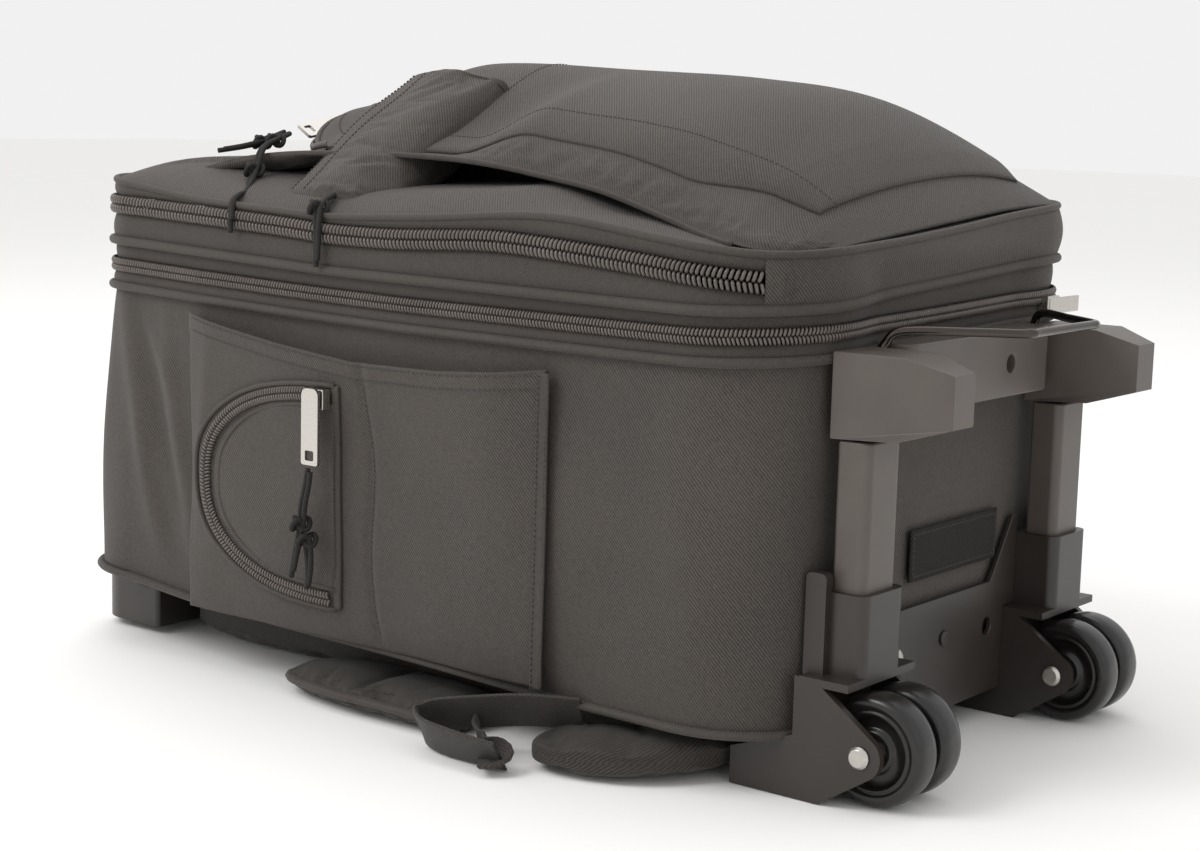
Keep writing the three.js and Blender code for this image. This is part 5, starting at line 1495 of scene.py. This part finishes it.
class BAG_OT_fittings(bpy.types.Operator):
    """Gives the struts, feet, housings, plate and trolley tubes their rounded shapes"""

    bl_idname = "flight_bag.fittings"
    bl_label = "Trolley and fittings"

    def execute(self, context):
        for node, kind, look, width in MOULDINGS:
            refined(node, kind, look, width)
        refined("grip", "moulding", "dark_plastic", 2.2, segments=4)
        self.hook_patch()
        self.bail()
        return {"FINISHED"}

    def hook_patch(self):
        """A rectangle of hook tape, sewn on round its border."""
        low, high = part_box("hook_patch")
        inset = 0.6 * MM
        y = np.linspace(low.y + inset, high.y - inset, 60)
        z = np.linspace(low.z + inset, high.z - inset, 20)[:, None]
        fall = np.minimum(
            swell((y - low.y) / (4 * MM))[None] * swell((high.y - y) / (4 * MM))[None],
            swell((z - low.z) / (4 * MM)) * swell((high.z - z) / (4 * MM)),
        )
        x = high.x - 0.4 * MM + 0.8 * MM * fall
        grid = np.stack(np.broadcast_arrays(x, y[None], z), axis=-1)
        patch = surface("hook_tape", grid, away=(1, 0, 0))
        solidify(patch, 1.2)
        finished(patch, "case", "hook", ("hook_patch",))
        corners = np.array([
            (low.y, low.z), (high.y, low.z), (high.y, high.z), (low.y, high.z), (low.y, low.z)
        ])
        centre = corners[:4].mean(axis=0)
        inner = centre + (corners - centre) * (1 - 3.4 * MM / np.abs(corners - centre).clip(1e-9))
        for k in range(4):
            t = np.linspace(0, 1, 30)[:, None]
            line = inner[k] * (1 - t) + inner[k + 1] * t
            path = np.concatenate([np.full((30, 1), high.x + 0.2 * MM), line], axis=1)
            stitches(f"hook_tape_stitches_{k}", path, (1.0, 0, 0), "case")

    def bail(self):
        """The wire that folds over the feet, bent from one rod."""
        radius = 2.3
        pin_x, pin_z = edge("bail", 0, 0) + radius, edge("bail", 2, 0) + radius
        reach, top = edge("bail", 0, 1) - radius, edge("bail", 2, 1) - radius
        tip = edge("bail", 1, 0)
        route = [
            (pin_x, tip, pin_z), (pin_x, tip + 6, pin_z), (pin_x + 0.3, tip + 10, pin_z + 1.2),
            (pin_x + 1.6, tip + 12, pin_z + 5), (pin_x + 8, tip + 16, top - 0.5), (pin_x + 34, tip + 37, top),
            (reach - 4, tip + 51.5, top), (reach, tip + 57, top), (reach, tip + 66, top),
        ]
        route = route + [(x, -y, z) for x, y, z in route[::-1]]
        path = at(*through(route, 240).T)
        wire = sweep("bail_wire", path, (0, 0, 1.0), round_section(radius * MM, 16))
        finished(wire, "bail", "wire", ("bail",))


# ---- Floor, light and camera --------------------------------------------------------------------


FLOOR_REACH = 12.0
LIGHT_AIM = np.array([0, 0, 0.15])


class BAG_OT_stage(bpy.types.Operator):
    """Sets the pale floor, the studio lights and the camera"""

    bl_idname = "flight_bag.stage"
    bl_label = "Stage"

    def execute(self, context):
        sizes = context.scene.flight_bag
        scene = context.scene
        corners = [(-FLOOR_REACH, -FLOOR_REACH), (FLOOR_REACH, -FLOOR_REACH)]
        corners += [(-x, -y) for x, y in corners]
        floor = mesh_of("floor", np.array([(x, y, -0.5 * MM) for x, y in corners]), [(0, 1, 2, 3)])
        floor.data.materials.append(self.paper(sizes))

        world = bpy.data.worlds.new("Studio")
        scene.world = world
        world.use_nodes = True
        background = next(n for n in world.node_tree.nodes if n.type == "BACKGROUND")
        background.inputs["Color"].default_value = (*sizes.sky, 1)
        background.inputs["Strength"].default_value = sizes.sky_strength
        for name, place, size, power in (
            ("Key", (-0.9, -1.7, 1.9), 1.1, sizes.key_power),
            ("Fill", (2.4, -0.4, 1.3), 1.8, sizes.fill_power),
            ("Top", (-0.6, 0.5, 2.4), 2.2, sizes.top_power),
            ("Left", (-2.2, -1.3, 1.0), 1.4, sizes.left_power),
        ):
            light = bpy.data.lights.new(name, "AREA")
            light.shape = "SQUARE"
            light.size = size
            light.energy = power
            lamp = bpy.data.objects.new(name, light)
            scene.collection.objects.link(lamp)
            back = unit(np.array(place) - LIGHT_AIM)
            right = unit(np.cross((0, 0, 1.0), back))
            self.place(lamp, place, right, np.cross(back, right), back)

        yaw, pitch, roll = sizes.camera_azimuth, sizes.camera_elevation, sizes.camera_roll
        forward = np.array([-np.sin(yaw) * np.cos(pitch), np.cos(yaw) * np.cos(pitch), -np.sin(pitch)])
        level_right = unit(np.cross(forward, (0, 0, 1.0)))
        level_up = np.cross(level_right, forward)
        right = np.cos(roll) * level_right + np.sin(roll) * level_up
        up = -np.sin(roll) * level_right + np.cos(roll) * level_up
        data = bpy.data.cameras.new("Camera")
        data.lens = sizes.camera_lens
        data.sensor_width = 36.0
        data.clip_start = 0.05
        camera = bpy.data.objects.new("Camera", data)
        scene.collection.objects.link(camera)
        self.place(camera, sizes.camera_place, right, up, -forward)
        scene.camera = camera
        scene.view_settings.view_transform = "Standard"
        return {"FINISHED"}

    def place(self, thing, spot, x_axis, y_axis, z_axis):
        """Sets an object's place and axes."""
        matrix = Matrix.Identity(4)
        for k, axis in enumerate((x_axis, y_axis, z_axis)):
            matrix.col[k][:3] = axis
        matrix.translation = spot
        thing.matrix_world = matrix

    def paper(self, sizes):
        """Matt white paper with a trace of unevenness, so that the shadow falls softly on it."""
        material, tree, shader, place = blank("White paper")
        cloud, = noises(tree, place, (3.0, 2.0))
        skin(tree, shader, cloud, sizes.floor, (0.985, 1.0), (0.0, 1.0), None, {"Roughness": 0.9})
        return material


class FlightBagSizes(bpy.types.PropertyGroup):
    """What can be set by hand before the bag is built"""

    expansion_half: bpy.props.FloatProperty(
        name="Expansion zip half width", description="Half width of the expansion zip's coils",
        default=0.0041, unit="LENGTH",
    )
    expansion_pitch: bpy.props.FloatProperty(
        name="Expansion zip pitch", description="Distance between turns of the expansion zip's coil",
        default=0.0021, unit="LENGTH",
    )
    main_half: bpy.props.FloatProperty(
        name="Main zip half width", description="Half width of the main zip's coils",
        default=0.0055, unit="LENGTH",
    )
    main_pitch: bpy.props.FloatProperty(
        name="Main zip pitch", description="Distance between turns of the main zip's coil",
        default=0.0027, unit="LENGTH",
    )
    cord_radius: bpy.props.FloatProperty(
        name="Cord radius", description="Radius of the cords on the zip pulls", default=0.0015, unit="LENGTH",
    )
    camera_place: bpy.props.FloatVectorProperty(
        name="Camera place", description="Where the camera stands", default=(0.76974, -0.99568, 0.33228),
        subtype="XYZ", unit="LENGTH",
    )
    camera_azimuth: bpy.props.FloatProperty(
        name="Camera azimuth", description="Turn of the view to the left of +Y",
        default=np.radians(37.656), subtype="ANGLE",
    )
    camera_elevation: bpy.props.FloatProperty(
        name="Camera elevation", description="How far the camera looks down",
        default=np.radians(8.454), subtype="ANGLE",
    )
    camera_roll: bpy.props.FloatProperty(
        name="Camera roll", description="Turn of the camera about its view", default=np.radians(1.508),
        subtype="ANGLE",
    )
    camera_lens: bpy.props.FloatProperty(
        name="Lens", description="Focal length in millimetres on a 36 mm sensor", default=64.25,
    )
    floor: bpy.props.FloatVectorProperty(
        name="Floor colour", description="Colour of the paper under the bag", default=linear("fbfaf8"),
        subtype="COLOR",
    )
    sky: bpy.props.FloatVectorProperty(
        name="Surround colour", description="Colour of the light all round", default=linear("ffffff"),
        subtype="COLOR",
    )
    sky_strength: bpy.props.FloatProperty(
        name="Surround strength", description="Strength of the light all round", default=0.88,
    )
    key_power: bpy.props.FloatProperty(
        name="Key light", description="Power of the light before the near side", default=23.0,
        subtype="POWER",
    )
    fill_power: bpy.props.FloatProperty(
        name="Fill light", description="Power of the light before the base", default=2.5, subtype="POWER",
    )
    top_power: bpy.props.FloatProperty(
        name="Top light", description="Power of the light above", default=14.0, subtype="POWER",
    )
    left_power: bpy.props.FloatProperty(
        name="Left light", description="Power of the light by the handle end", default=4.0, subtype="POWER",
    )


STEPS = (
    BAG_OT_case, BAG_OT_zips, BAG_OT_lid, BAG_OT_pockets, BAG_OT_carry_handle, BAG_OT_straps,
    BAG_OT_pulls, BAG_OT_cords, BAG_OT_wheels, BAG_OT_fittings, BAG_OT_stage,
)


class BAG_PT_panel(bpy.types.Panel):
    """Lists the steps that build the bag"""

    bl_idname = "BAG_PT_panel"
    bl_label = "Flight bag"
    bl_space_type = "VIEW_3D"
    bl_region_type = "UI"
    bl_category = "Flight bag"

    def draw(self, context):
        sizes = context.scene.flight_bag
        for name in FlightBagSizes.__annotations__:
            self.layout.prop(sizes, name)
        for step_class in STEPS:
            self.layout.operator(step_class.bl_idname)


CLASSES = (FlightBagSizes, *STEPS, BAG_PT_panel)


def register():
    for made in CLASSES:
        bpy.utils.register_class(made)
    bpy.types.Scene.flight_bag = bpy.props.PointerProperty(type=FlightBagSizes)


def unregister():
    del bpy.types.Scene.flight_bag
    for made in reversed(CLASSES):
        bpy.utils.unregister_class(made)


def main():
    """Registers the add-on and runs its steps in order."""
    register()
    for step_class in STEPS:
        group, name = step_class.bl_idname.split(".")
        getattr(getattr(bpy.ops, group), name)()


if __name__ == "__main__":
    main()
